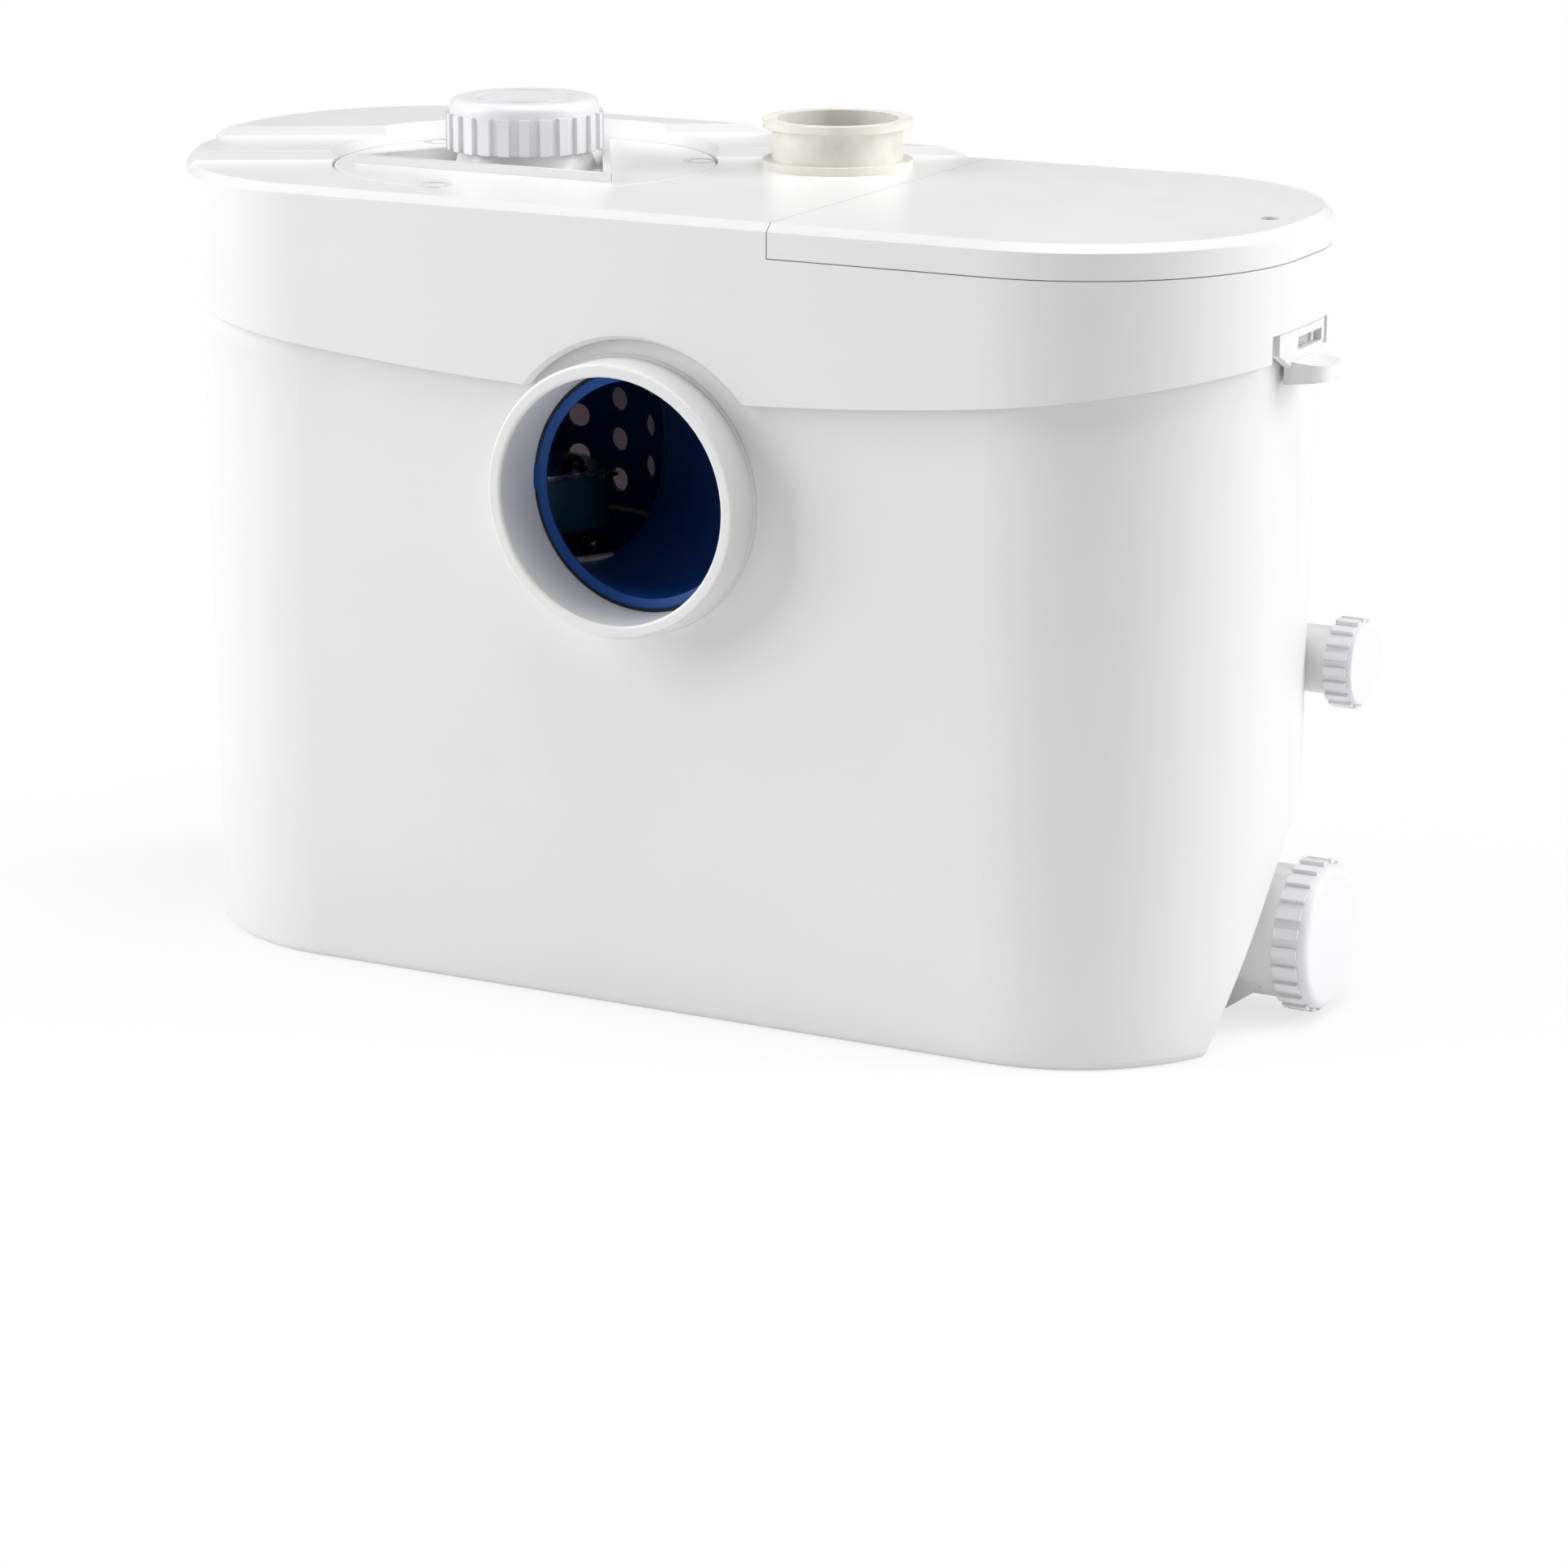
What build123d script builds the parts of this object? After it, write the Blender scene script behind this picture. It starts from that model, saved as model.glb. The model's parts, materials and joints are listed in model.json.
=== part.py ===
from build123d import *
import math
import os

os.makedirs("parts", exist_ok=True)

# Macerator toilet pump, millimetres. The origin is the centre of the flat underside of the tank.
# +X runs along the tank to the end with the two side ports, -Y is the front with the soil inlet,
# +Z is up.

# Fits shared by all pieces
overrun = 1.0
seat_gap = 0.3
skirt_gap = 1.3
fit_gap = 0.1
running_gap = 0.05
slot_gap = 1.0

# Lengths that add up along the tank, from its left end to its right end
basket_inset = 125.0
discharge_reach = 109.4
seam_reach = 41.1
tub_gap = 8.5
tub_length = 126.0
tub_end_gap = 26.0
tank_length = basket_inset + discharge_reach + seam_reach + tub_gap + tub_length + tub_end_gap
axis_x = basket_inset - tank_length / 2
discharge_x = axis_x + discharge_reach
seam_x = discharge_x + seam_reach
tub_start = seam_x + tub_gap
tub_end = tub_start + tub_length

# Tank
tank_depth = 175.0
side_flat = 10.0
corner_radius = tank_depth / 2 - side_flat
tank_wall = 3.0
wall_draft = 0.34
foot_round = 3.0
undercut_inset_x = 9.4
undercut_foot_x = tank_length / 2 - undercut_inset_x
undercut_inset_y = 44.0
undercut_foot_y = undercut_inset_y - tank_depth / 2
undercut_yaw = 30.0
undercut_lean = 26.0
undercut_web = 3.0

# Soil inlet in the front wall, with the rim of the tank above it
inlet_height = 194.0
inlet_radius = 50.0
inlet_bore = 45.0
inlet_reach = 15.7
inlet_front = tank_depth / 2 + inlet_reach
inlet_length = 25.5
inlet_lip_round = 1.2
inlet_seat = 1.2
rim_above_inlet = 84.0
rim_height = inlet_height + rim_above_inlet

# Side ports on the right end
port_reach = 10.0
port_end = tank_length / 2 + port_reach
port_depth = 68.0
port_root = tank_length / 2 - port_depth
upper_port_y = 50.0
upper_port_z = 127.5
upper_port_radius = 12.5
upper_port_bore = 9.5
lower_port_y = 25.0
lower_port_z = 30.0
lower_port_radius = 24.6
lower_port_bore = 21.6
gusset_y = 8.0
gusset_inset = 25.0
gusset_foot_x = tank_length / 2 - gusset_inset
gusset_foot_z = 0.4
gusset_tip_inset = 8.5
gusset_tip_x = tank_length / 2 - gusset_tip_inset
gusset_tip_z = 12.0

# Lid
lid_height = 18.5
lid_top = rim_height + lid_height
lid_wall = 3.0
lid_bevel = 3.0
skirt_above_inlet = 36.5
skirt_middle = inlet_height + skirt_above_inlet
skirt_arch = 19.5
skirt_end = skirt_middle + skirt_arch
shoulder_rise = 3.0
shoulder_height = rim_height + shoulder_rise
shoulder_reach = 12.0
arch_radius = 58.4
arch_shift = 3.2
arch_slope = 30.0
terrace_angle = 30.0
terrace_rise = 3.4
terrace_front_inset = 23.0
terrace_front_y = tank_depth / 2 - terrace_front_inset
terrace_back_reach = 25.5
terrace_back_y = tank_depth / 2 + terrace_back_reach
terrace_slope = 28.0
terrace_end_gap = 5.0

# Power compartment in the right half of the lid
seam_drop = 12.5
seam_height = lid_top - seam_drop
seam_gap = 0.4
tub_margin = 59.0
tub_depth = tank_depth - tub_margin
tub_drop = 56.5
tub_floor = lid_top - tub_drop
tub_corner = 12.0
power_screw_inset = 10.0
power_screw_x = tank_length / 2 - power_screw_inset
power_screw_radius = 2.0
power_screw_head = 3.6
screw_sink = 2.4
grommet_turn = 60.0
grommet_radius = 3.6
grommet_flange = 4.5
grommet_flange_thick = 2.4
grommet_bore = 2.8

# Latches on both ends
latch_width = 42.0
latch_drop = 9.6
latch_base = skirt_end - latch_drop
latch_height = 19.2
latch_top = latch_base + latch_height
latch_slot = 4.5
latch_window_width = 23.0
latch_window_y = 6.0
latch_window_rise = 11.6
latch_window_low = latch_base + latch_window_rise
latch_window_height = 4.5
latch_window_high = latch_window_low + latch_window_height
latch_lip_width = 22.0
latch_lip_height = 8.5
latch_lip_reach = 12.0
latch_lip_round = 8.0
latch_cut = 5.6
catch_reach = 1.0

# Round service cover over the cutter
cover_radius = 72.0
cover_gap = 0.6
cover_sink = 5.5
cover_seat = lid_top - cover_sink
cover_opening = 60.0
cover_edge_round = 1.2
plug_depth = 7.0
oring_radius = 1.6
frame_corner_radius = 64.0
frame_rib = 3.0
frame_rise = 3.2
pocket_depth = 1.8
cone_radius = 27.0
stub_radius = 24.4
stub_bore = 20.0
stub_rise = 5.5
stub_root = lid_top + stub_rise
stub_height = 15.0
stub_end = stub_root + stub_height
cover_screw_radius = 66.0
cover_screw_sink = 7.0
cover_screw_head = 4.2
cover_screw_shank = 2.0

# Ribbed screw caps
cap_ribs = 24
small_cap_ribs = 18
rib_height = 1.4
rib_share = 0.56
top_cap_radius = 28.2
top_cap_height = 19.0
top_cap_band = 13.6
cap_round = 3.6
groove_outer = 19.0
groove_inner = 16.5
groove_depth = 0.8
upper_cap_radius = 15.2
upper_cap_height = 10.5
upper_cap_band = 8.6
upper_cap_round = 0.8
lower_cap_radius = 26.8
lower_cap_height = 13.0
lower_cap_band = 9.4
lower_cap_round = 3.4
port_cap_reach = 2.5
port_cap_face = port_end + port_cap_reach
cap_seal = 2.0
seal_gap = 0.1

# Discharge collar and non-return valve
discharge_inset = 42.9
discharge_y = tank_depth / 2 - discharge_inset
collar_radius = 24.65
collar_flange = 28.2
collar_bore = 22.8
collar_height = 18.1
collar_top = lid_top + collar_height
collar_flange_thick = 3.0
valve_radius = 27.0
valve_bore = 24.2
valve_drop = 46.5
valve_seat = lid_top - valve_drop
valve_seat_thick = 3.0
valve_port = 11.0
tail_wall = 2.6
tail_length = 16.0
flap_radius = 14.0
flap_thick = 2.4
flap_hinge_y = 17.0
flap_eye = 2.6
flap_pin_radius = 1.2
flap_pin_length = 24.0

# Blue inlet chute and perforated basket
chute_bore = 40.4
chute_wall = 3.0
chute_lip = 44.6
chute_collar = 48.0
chute_collar_length = 4.0
chute_straight = 9.0
chute_groove = 42.6
chute_groove_width = 0.5
notch_width = 1.2
notch_depth = 0.9
seal_bore = 44.9
seal_thick = 0.7
basket_radius = 56.0
basket_wall = 2.5
pan_drop = 56.5
pan_base = inlet_height - pan_drop
pan_height = 16.1
pan_top = pan_base + pan_height
band_height = 1.4
band_step = 1.2
basket_headroom = 39.0
basket_top = cover_seat - basket_headroom
basket_flange = 4.0
hole_radius = 4.7
hole_pitch = 16.0
hole_rows = 5
hole_rise = 12.0
hole_first = pan_top + hole_rise
hole_columns = 12
hole_angle = 19.3
hole_turn = 41.2

# Motor, pump and cutter on one upright shaft
motor_radius = 46.0
motor_wall = 3.0
motor_base = 46.0
motor_flange = 50.0
motor_flange_thick = 6.0
motor_top = pan_base - motor_flange_thick
neck_radius = 14.0
neck_bore = 10.0
neck_height = 16.0
neck_top = pan_base + neck_height
bearing_radius = 13.0
bearing_length = 9.0
bearing_wall = 4.0
stator_radius = 42.6
stator_bore = 24.0
stator_rise = 20.0
stator_low = motor_base + stator_rise
stator_drop = 18.0
stator_high = motor_top - stator_drop
core_radius = 23.2
volute_radius = 59.0
volute_wall = 4.0
volute_base = 20.0
volute_roof = 6.0
outlet_radius = 12.0
outlet_bore = 9.0
outlet_reach = 62.0
hose_wall = 2.0
hose_overlap = 10.0
plate_thick = 4.0
suction_radius = 14.0
suction_skirt = 4.0
foot_radius = 8.0
foot_reach = 44.0
foot_turn = 90.0
impeller_radius = 48.0
impeller_disc = 3.0
impeller_high = 37.0
impeller_low = 23.5
impeller_hub = 10.0
vane_count = 6
vane_thick = 3.0
vane_sweep = 25.0
pipe_bend = 32.0
hub_rise = 5.7
hub_low = neck_top + hub_rise
hub_height = 20.2
hub_high = hub_low + hub_height
hub_radius = 29.2
hub_lip = 1.2
hub_lip_height = 4.0
shaft_radius = 6.0
shaft_low = 22.0
shaft_tip_drop = 0.5
shaft_high = hub_high - shaft_tip_drop
blade_length = 37.5
blade_width = 10.0
blade_thick = 1.2
blade_turn = -4.0
cutter_nut_reach = 20.0
cutter_nut_radius = 6.5
cutter_nut_height = 6.0
cutter_stud = 9.0
pan_nut_reach = 32.0
pan_nut_radius = 5.5
pan_nut_height = 4.5
pan_nut_turn = 72.0

# Pressure switch and electrics in the tub
tube_inset = 42.0
tube_x = tub_end - tube_inset
tube_radius = 16.0
tube_bore = 13.5
tube_low = 30.0
switch_radius = 20.0
switch_rim = 3.5
switch_height = 6.0
switch_floor = 2.0
diaphragm_thick = 1.6
plunger_radius = 3.0
plunger_foot = 8.0
plunger_foot_thick = 1.5
plunger_travel = 2.0
micro_length = 28.0
micro_width = 11.0
micro_height = 10.0
micro_leg = 4.0
capacitor_radius = 17.0
capacitor_length = 62.0
capacitor_cap = 4.0
capacitor_gap = 8.0
capacitor_x = tub_start + lid_wall + capacitor_gap + capacitor_radius
terminal_inset = 11.5
terminal_x = tub_end - terminal_inset
terminal_width = 16.0
terminal_length = 62.0
terminal_height = 14.0
terminal_ways = 6
terminal_screw = 2.2

# Places worked out from the sizes above
lid_grow = skirt_gap + lid_wall
lid_half = tank_length / 2 + lid_grow
plate_under = lid_top - lid_wall
terrace_tan = math.tan(math.radians(terrace_angle))
terrace_sin = math.sin(math.radians(terrace_angle))
terrace_cos = math.cos(math.radians(terrace_angle))
riser_out = math.cos(math.radians(terrace_slope))
riser_up = math.sin(math.radians(terrace_slope))
terrace_run = terrace_rise * math.tan(math.radians(terrace_slope))
tub_plane_z = tub_floor + lid_wall
tub_middle = (tub_start + tub_end) / 2
bore_back = inlet_front - inlet_length
chute_front = bore_back - seal_thick
chute_bend_y = chute_front - chute_straight
chute_outer = chute_bore + chute_wall
shaft_bore = shaft_radius + running_gap
outlet_z = volute_base + outlet_radius + seat_gap
volute_roof_z = motor_base - volute_roof
pipe_bore = outlet_radius + fit_gap
pipe_radius = pipe_bore + hose_wall
basket_hole = (axis_x, 0)
upright_axis = Axis((axis_x, 0, 0), (0, 0, 1))
undercut_plane = Plane(
    origin=(undercut_foot_x, undercut_foot_y, 0),
    z_dir=(
        math.cos(math.radians(undercut_yaw)) * math.cos(math.radians(undercut_lean)),
        math.sin(math.radians(undercut_yaw)) * math.cos(math.radians(undercut_lean)),
        -math.sin(math.radians(undercut_lean)),
    ),
)
bend_plane = Plane(origin=(0, -chute_bend_y, inlet_height), z_dir=(axis_x, chute_bend_y, 0))

def plan(grow, mode=Mode.ADD):
    """Oval plan of the tank, grown all round."""
    RectangleRounded(
        tank_length + 2 * grow, tank_depth + 2 * grow, corner_radius + grow, mode=mode
    )


def level(height):
    """Level sketch plane at a height."""
    return Plane.XY.offset(height)


def facing_front(y):
    """Upright sketch plane at a depth, with its normal towards the front."""
    return Plane.XZ.offset(-y)


def looking_down(height):
    """Level plane whose normal points down, for walls that draw in towards the floor."""
    return Plane(origin=(0, 0, height), z_dir=(0, 0, -1))


def save(part, name):
    """Label a finished piece and write it."""
    part.label = name
    export_step(part, "parts/" + name + ".step")


# Tank: one drawn-in oval shell with an undercut right end, a soil inlet and two side ports
with BuildPart() as tank_hollow:
    with BuildSketch(looking_down(rim_height + overrun)):
        plan(-tank_wall)
    extrude(amount=rim_height + overrun - tank_wall, taper=wall_draft)
    split(bisect_by=undercut_plane.offset(-tank_wall), keep=Keep.BOTTOM)

stub_end_x = port_end - cap_seal
with BuildPart() as tank:
    with BuildSketch(looking_down(rim_height)):
        plan(0)
    extrude(amount=rim_height, taper=wall_draft)
    fillet(tank.faces().sort_by(Axis.Z)[0].edges(), foot_round)
    split(bisect_by=undercut_plane, keep=Keep.BOTTOM)
    # Side ports
    with BuildSketch(Plane.YZ.offset(port_root)):
        with Locations((upper_port_y, upper_port_z)):
            Circle(upper_port_radius)
        with Locations((lower_port_y, lower_port_z)):
            Circle(lower_port_radius)
    extrude(amount=stub_end_x - port_root)
    # Web under the lower port
    with BuildSketch(facing_front(gusset_y)):
        with BuildLine():
            Polyline(
                (port_root, gusset_foot_z),
                (gusset_foot_x, gusset_foot_z),
                (gusset_tip_x, gusset_tip_z),
                (gusset_tip_x, lower_port_z),
                (port_root, lower_port_z),
                close=True,
            )
        make_face()
    extrude(amount=undercut_web / 2, both=True)
    add(tank_hollow.part, mode=Mode.SUBTRACT)
    # Soil inlet, a tube through the front wall
    with BuildSketch(facing_front(-inlet_front)):
        with Locations((0, inlet_height)):
            Circle(inlet_radius)
    extrude(amount=-inlet_length)
    # Flat seat round its root, where a pan connector ends
    with BuildSketch(facing_front(-tank_depth / 2)):
        with Locations((0, inlet_height)):
            Circle(inlet_radius + inlet_seat)
    extrude(amount=-tank_wall / 2)
    with BuildSketch(facing_front(-inlet_front - overrun)):
        with Locations((0, inlet_height)):
            Circle(inlet_bore)
    extrude(amount=-inlet_length - 2 * overrun, mode=Mode.SUBTRACT)
    fillet(tank.edges().filter_by(GeomType.CIRCLE).group_by(Axis.Y)[0], inlet_lip_round)
    # Port bores
    with BuildSketch(Plane.YZ.offset(port_root)):
        with Locations((upper_port_y, upper_port_z)):
            Circle(upper_port_bore)
        with Locations((lower_port_y, lower_port_z)):
            Circle(lower_port_bore)
    extrude(amount=port_end - port_root, mode=Mode.SUBTRACT)
    # Low wedges that the latches snap over, behind the skirt of the lid
    catch_top = latch_window_high - slot_gap
    catch_low = latch_window_low + slot_gap
    for side in (1, -1):
        catch_x = side * (tank_length / 2 - tank_wall / 2)
        with BuildSketch(facing_front(latch_window_y + latch_window_width / 4)):
            with BuildLine():
                Polyline(
                    (catch_x, catch_low),
                    (side * (tank_length / 2 + catch_reach), catch_low),
                    (catch_x, catch_top),
                    close=True,
                )
            make_face()
        extrude(amount=latch_window_width / 2)
save(tank.part, "tank")

# Gasket on the rim of the tank
with BuildPart() as rim_gasket:
    with BuildSketch(level(rim_height)):
        plan(-fit_gap)
        plan(fit_gap - tank_wall, Mode.SUBTRACT)
    extrude(amount=shoulder_height - rim_height - seat_gap)
save(rim_gasket.part, "rim_gasket")


def terrace_block(step, crossing):
    """Full outer plan with its own bevel, cut off by the sloped riser and the sloped right end."""
    foot = lid_top + step * terrace_rise
    with BuildPart() as block:
        with BuildSketch(level(lid_top - lid_bevel)):
            plan(lid_grow)
        extrude(amount=foot + terrace_rise - lid_top + lid_bevel)
        chamfer(block.faces().sort_by(Axis.Z)[-1].edges(), length=lid_bevel)
        riser = Plane(
            origin=(0, crossing, foot),
            z_dir=(terrace_sin * riser_out, -terrace_cos * riser_out, riser_up),
        )
        split(bisect_by=riser, keep=Keep.BOTTOM)
        end = Plane(origin=(seam_x - terrace_end_gap, 0, lid_top), z_dir=(riser_out, 0, riser_up))
        split(bisect_by=end, keep=Keep.BOTTOM)
    return block.part


def behind_riser(crossing, right):
    """Keep what lies behind a riser that runs at the terrace angle."""
    Polygon(
        (-lid_half, crossing - lid_half * terrace_tan),
        (right, crossing + right * terrace_tan),
        (right, tank_length),
        (-lid_half, tank_length),
        align=None,
        mode=Mode.INTERSECT,
    )


# Lid: a deep skirted oval with an arched edge, raised terraces, a round recess and a power tub
riser_lines = (terrace_front_y, terrace_back_y)
terrace_blocks = [terrace_block(step, crossing) for step, crossing in enumerate(riser_lines)]
with BuildPart() as lid:
    with BuildSketch(level(skirt_middle)):
        plan(lid_grow)
    extrude(amount=lid_top - skirt_middle)
    chamfer(lid.faces().sort_by(Axis.Z)[-1].edges(), length=lid_bevel)
    # Terraces that climb towards the back left
    for terrace in terrace_blocks:
        add(terrace)
    # Seat for the round cover and room for the collar, with sloped walls up through the terraces
    with BuildSketch(level(lid_top)):
        with Locations(basket_hole):
            Circle(cover_radius + cover_gap)
        with Locations((discharge_x, discharge_y)):
            Circle(collar_flange + seat_gap)
    extrude(amount=2 * terrace_rise + overrun, taper=-terrace_slope, mode=Mode.SUBTRACT)
    # Step down for the power cover
    with BuildSketch(level(seam_height)):
        with Locations((seam_x + lid_half, 0)):
            Rectangle(2 * lid_half, tank_length)
    extrude(amount=tank_length, mode=Mode.SUBTRACT)
    # Hollow for the tank, then the roof space over the shoulder
    with BuildSketch(level(skirt_middle - overrun)):
        plan(skirt_gap)
    extrude(amount=shoulder_height - skirt_middle + overrun, mode=Mode.SUBTRACT)
    with BuildSketch(level(shoulder_height - overrun)):
        plan(-shoulder_reach)
        with Locations((seam_x - lid_wall + lid_half, 0)):
            Rectangle(2 * lid_half, tank_length, mode=Mode.SUBTRACT)
    extrude(amount=plate_under - shoulder_height + overrun, mode=Mode.SUBTRACT)
    for step, crossing in enumerate(riser_lines):
        with BuildSketch(level(plate_under - overrun + step * terrace_rise)):
            plan(-shoulder_reach)
            behind_riser(
                crossing + lid_wall / terrace_cos, seam_x - terrace_end_gap - lid_wall - terrace_run
            )
            with Locations(basket_hole):
                Circle(cover_radius + cover_gap + 2 * lid_wall + terrace_run, mode=Mode.SUBTRACT)
            with Locations((discharge_x, discharge_y)):
                Circle(collar_flange + lid_wall + terrace_run, mode=Mode.SUBTRACT)
        extrude(amount=terrace_rise + overrun, mode=Mode.SUBTRACT)
    # Arched lower edge of the skirt
    with BuildSketch(facing_front(-tank_depth)):
        with BuildLine():
            ThreePointArc((-lid_half, skirt_end), (0, skirt_middle), (lid_half, skirt_end))
            Polyline(
                (lid_half, skirt_end),
                (lid_half + overrun, skirt_end),
                (lid_half + overrun, skirt_middle - overrun),
                (-lid_half - overrun, skirt_middle - overrun),
                (-lid_half - overrun, skirt_end),
                (-lid_half, skirt_end),
            )
        make_face()
    extrude(amount=-2 * tank_depth, mode=Mode.SUBTRACT)
    # Arch over the soil inlet, with a sloped reveal
    with BuildSketch(facing_front(-tank_depth / 2 - lid_grow)):
        with Locations((arch_shift, inlet_height)):
            Circle(arch_radius)
    extrude(amount=-shoulder_reach, taper=arch_slope, mode=Mode.SUBTRACT)
    # Ring seat of the round cover
    with BuildSketch(level(cover_seat - lid_wall)):
        with Locations(basket_hole):
            Circle(cover_radius + cover_gap + lid_wall)
    extrude(amount=plate_under - cover_seat + lid_wall)
    with BuildSketch(level(cover_seat)):
        with Locations(basket_hole):
            Circle(cover_radius + cover_gap)
    extrude(amount=tank_length, mode=Mode.SUBTRACT)
    with BuildSketch(level(skirt_middle)):
        with Locations(basket_hole):
            Circle(cover_opening)
    extrude(amount=tank_length, mode=Mode.SUBTRACT)
    with BuildSketch(level(cover_seat - lid_wall - overrun)):
        with Locations(basket_hole):
            with PolarLocations(cover_screw_radius, 3, start_angle=-90):
                Circle(cover_screw_shank + fit_gap)
    extrude(amount=lid_wall + 2 * overrun, mode=Mode.SUBTRACT)
    # Power tub that hangs inside the tank, with a hole over the pressure tube
    with BuildSketch(level(tub_floor)):
        with Locations((tub_middle, 0)):
            RectangleRounded(tub_end - tub_start, tub_depth, tub_corner)
    extrude(amount=shoulder_height - tub_floor)
    with BuildSketch(level(tub_plane_z)):
        with Locations((tub_middle, 0)):
            RectangleRounded(
                tub_end - tub_start - 2 * lid_wall, tub_depth - 2 * lid_wall, tub_corner - lid_wall
            )
    extrude(amount=tank_length, mode=Mode.SUBTRACT)
    with BuildSketch(level(tub_floor - overrun)):
        with Locations((tube_x, 0)):
            Circle(plunger_radius)
    extrude(amount=lid_wall + 2 * overrun, mode=Mode.SUBTRACT)
    # Holes for the discharge collar and for the screw of the power cover
    with BuildSketch(level(shoulder_height)):
        with Locations((discharge_x, discharge_y)):
            Circle(collar_radius + fit_gap)
    extrude(amount=tank_length, mode=Mode.SUBTRACT)
    with BuildSketch(level(shoulder_height - overrun)):
        with Locations((power_screw_x, 0)):
            Circle(power_screw_radius)
    extrude(amount=lid_wall + 2 * overrun, mode=Mode.SUBTRACT)
    # Gaps round the two latches
    for side in (1, -1):
        with BuildSketch(Plane.YZ.offset(side * lid_half)):
            with Locations((0, (latch_top + skirt_middle) / 2)):
                Rectangle(latch_width + 2 * latch_slot, latch_top - skirt_middle)
        extrude(amount=corner_radius / 4, both=True, mode=Mode.SUBTRACT)
save(lid.part, "lid")

# Latches: tongues of the skirt, each with a window for the catch and a finger lip
for side, name in ((1, "latch_right"), (-1, "latch_left")):
    lip_half = latch_lip_width / 2
    lip_top = latch_base + latch_lip_height
    lip_x = side * (lid_half + latch_lip_reach)
    with BuildPart() as latch:
        with BuildSketch(level(latch_base)):
            plan(lid_grow)
            plan(skirt_gap, Mode.SUBTRACT)
            with Locations((side * lid_half, 0)):
                Rectangle(corner_radius, latch_width, mode=Mode.INTERSECT)
        extrude(amount=latch_top - fit_gap - latch_base)
        # Lower corners are cut off towards the lip
        with BuildSketch(Plane.YZ):
            with BuildLine():
                Polyline(
                    (-latch_width / 2, latch_top),
                    (latch_width / 2, latch_top),
                    (latch_width / 2, latch_window_low),
                    (lip_half, latch_window_low - latch_cut),
                    (lip_half, latch_base),
                    (-lip_half, latch_base),
                    (-lip_half, latch_window_low - latch_cut),
                    (-latch_width / 2, latch_window_low),
                    close=True,
                )
            make_face()
        extrude(amount=tank_length, both=True, mode=Mode.INTERSECT)
        with BuildSketch(facing_front(lip_half)):
            with BuildLine():
                Polyline(
                    (side * (lid_half - lid_wall), latch_base),
                    (lip_x, latch_base + lid_wall / 2),
                    (lip_x, lip_top - lid_wall / 2),
                    (side * (lid_half - lid_wall), lip_top),
                    close=True,
                )
            make_face()
        extrude(amount=latch_lip_width)
        outer_edges = latch.edges().filter_by(Axis.Z).group_by(Axis.X)[-1 if side > 0 else 0]
        fillet(outer_edges, latch_lip_round)
        with BuildSketch(Plane.YZ):
            with Locations((latch_window_y, (latch_window_low + latch_window_high) / 2)):
                Rectangle(latch_window_width, latch_window_high - latch_window_low)
        extrude(amount=tank_length, both=True, mode=Mode.SUBTRACT)
        with BuildSketch(level(latch_base - overrun)):
            plan(skirt_gap)
        extrude(amount=latch_top, mode=Mode.SUBTRACT)
    save(latch.part, name)

# Power cover, the bevelled right half of the lid top
cover_low = seam_height + seat_gap
cable_z = cover_low + grommet_flange
cable_dir = (math.cos(math.radians(grommet_turn)), math.sin(math.radians(grommet_turn)), 0)


def cable_plane(reach):
    """Plane square to the back right corner, at a reach past the outside of the lid."""
    out = corner_radius + lid_grow + reach
    corner_x = tank_length / 2 - corner_radius
    corner_y = tank_depth / 2 - corner_radius
    return Plane(
        origin=(corner_x + out * cable_dir[0], corner_y + out * cable_dir[1], cable_z),
        x_dir=(-cable_dir[1], cable_dir[0], 0),
        z_dir=cable_dir,
    )


with BuildPart() as power_cover:
    with BuildSketch(level(cover_low)):
        plan(lid_grow)
        with Locations((seam_x + seam_gap - lid_half, 0)):
            Rectangle(2 * lid_half, tank_length, mode=Mode.SUBTRACT)
    extrude(amount=lid_top - cover_low)
    chamfer(power_cover.faces().sort_by(Axis.Z)[-1].edges().sort_by(Axis.X)[1:], length=lid_bevel)
    with BuildSketch(level(seam_height)):
        plan(skirt_gap)
        with Locations((seam_x + seam_gap + lid_wall - lid_half, 0)):
            Rectangle(2 * lid_half, tank_length, mode=Mode.SUBTRACT)
    extrude(amount=plate_under - seam_height, mode=Mode.SUBTRACT)
    # Pillar and sunk hole for the screw
    with BuildSketch(level(cover_low)):
        with Locations((power_screw_x, 0)):
            Circle(power_screw_head + lid_wall)
    extrude(amount=lid_top - cover_low)
    with BuildSketch(level(seam_height)):
        with Locations((power_screw_x, 0)):
            Circle(power_screw_radius + fit_gap)
    extrude(amount=tank_length, mode=Mode.SUBTRACT)
    with BuildSketch(level(lid_top - 2 * screw_sink)):
        with Locations((power_screw_x, 0)):
            Circle(power_screw_head + fit_gap)
    extrude(amount=tank_length, mode=Mode.SUBTRACT)
    # Slot for the cable grommet
    with BuildSketch(cable_plane(overrun)):
        Circle(grommet_radius + seat_gap)
        with Locations((0, -grommet_flange / 2 - overrun)):
            Rectangle(2 * (grommet_radius + seat_gap), grommet_flange + 2 * overrun)
    extrude(amount=-lid_wall - 2 * overrun, mode=Mode.SUBTRACT)
save(power_cover.part, "power_cover")

with BuildPart() as power_screw:
    with BuildSketch(level(lid_top - 2 * screw_sink + fit_gap)):
        with Locations((power_screw_x, 0)):
            Circle(power_screw_head)
    extrude(amount=screw_sink)
    with BuildSketch(level(shoulder_height)):
        with Locations((power_screw_x, 0)):
            Circle(power_screw_radius - running_gap)
    extrude(amount=lid_top - 2 * screw_sink - shoulder_height + overrun)
save(power_screw.part, "power_screw")

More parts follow.
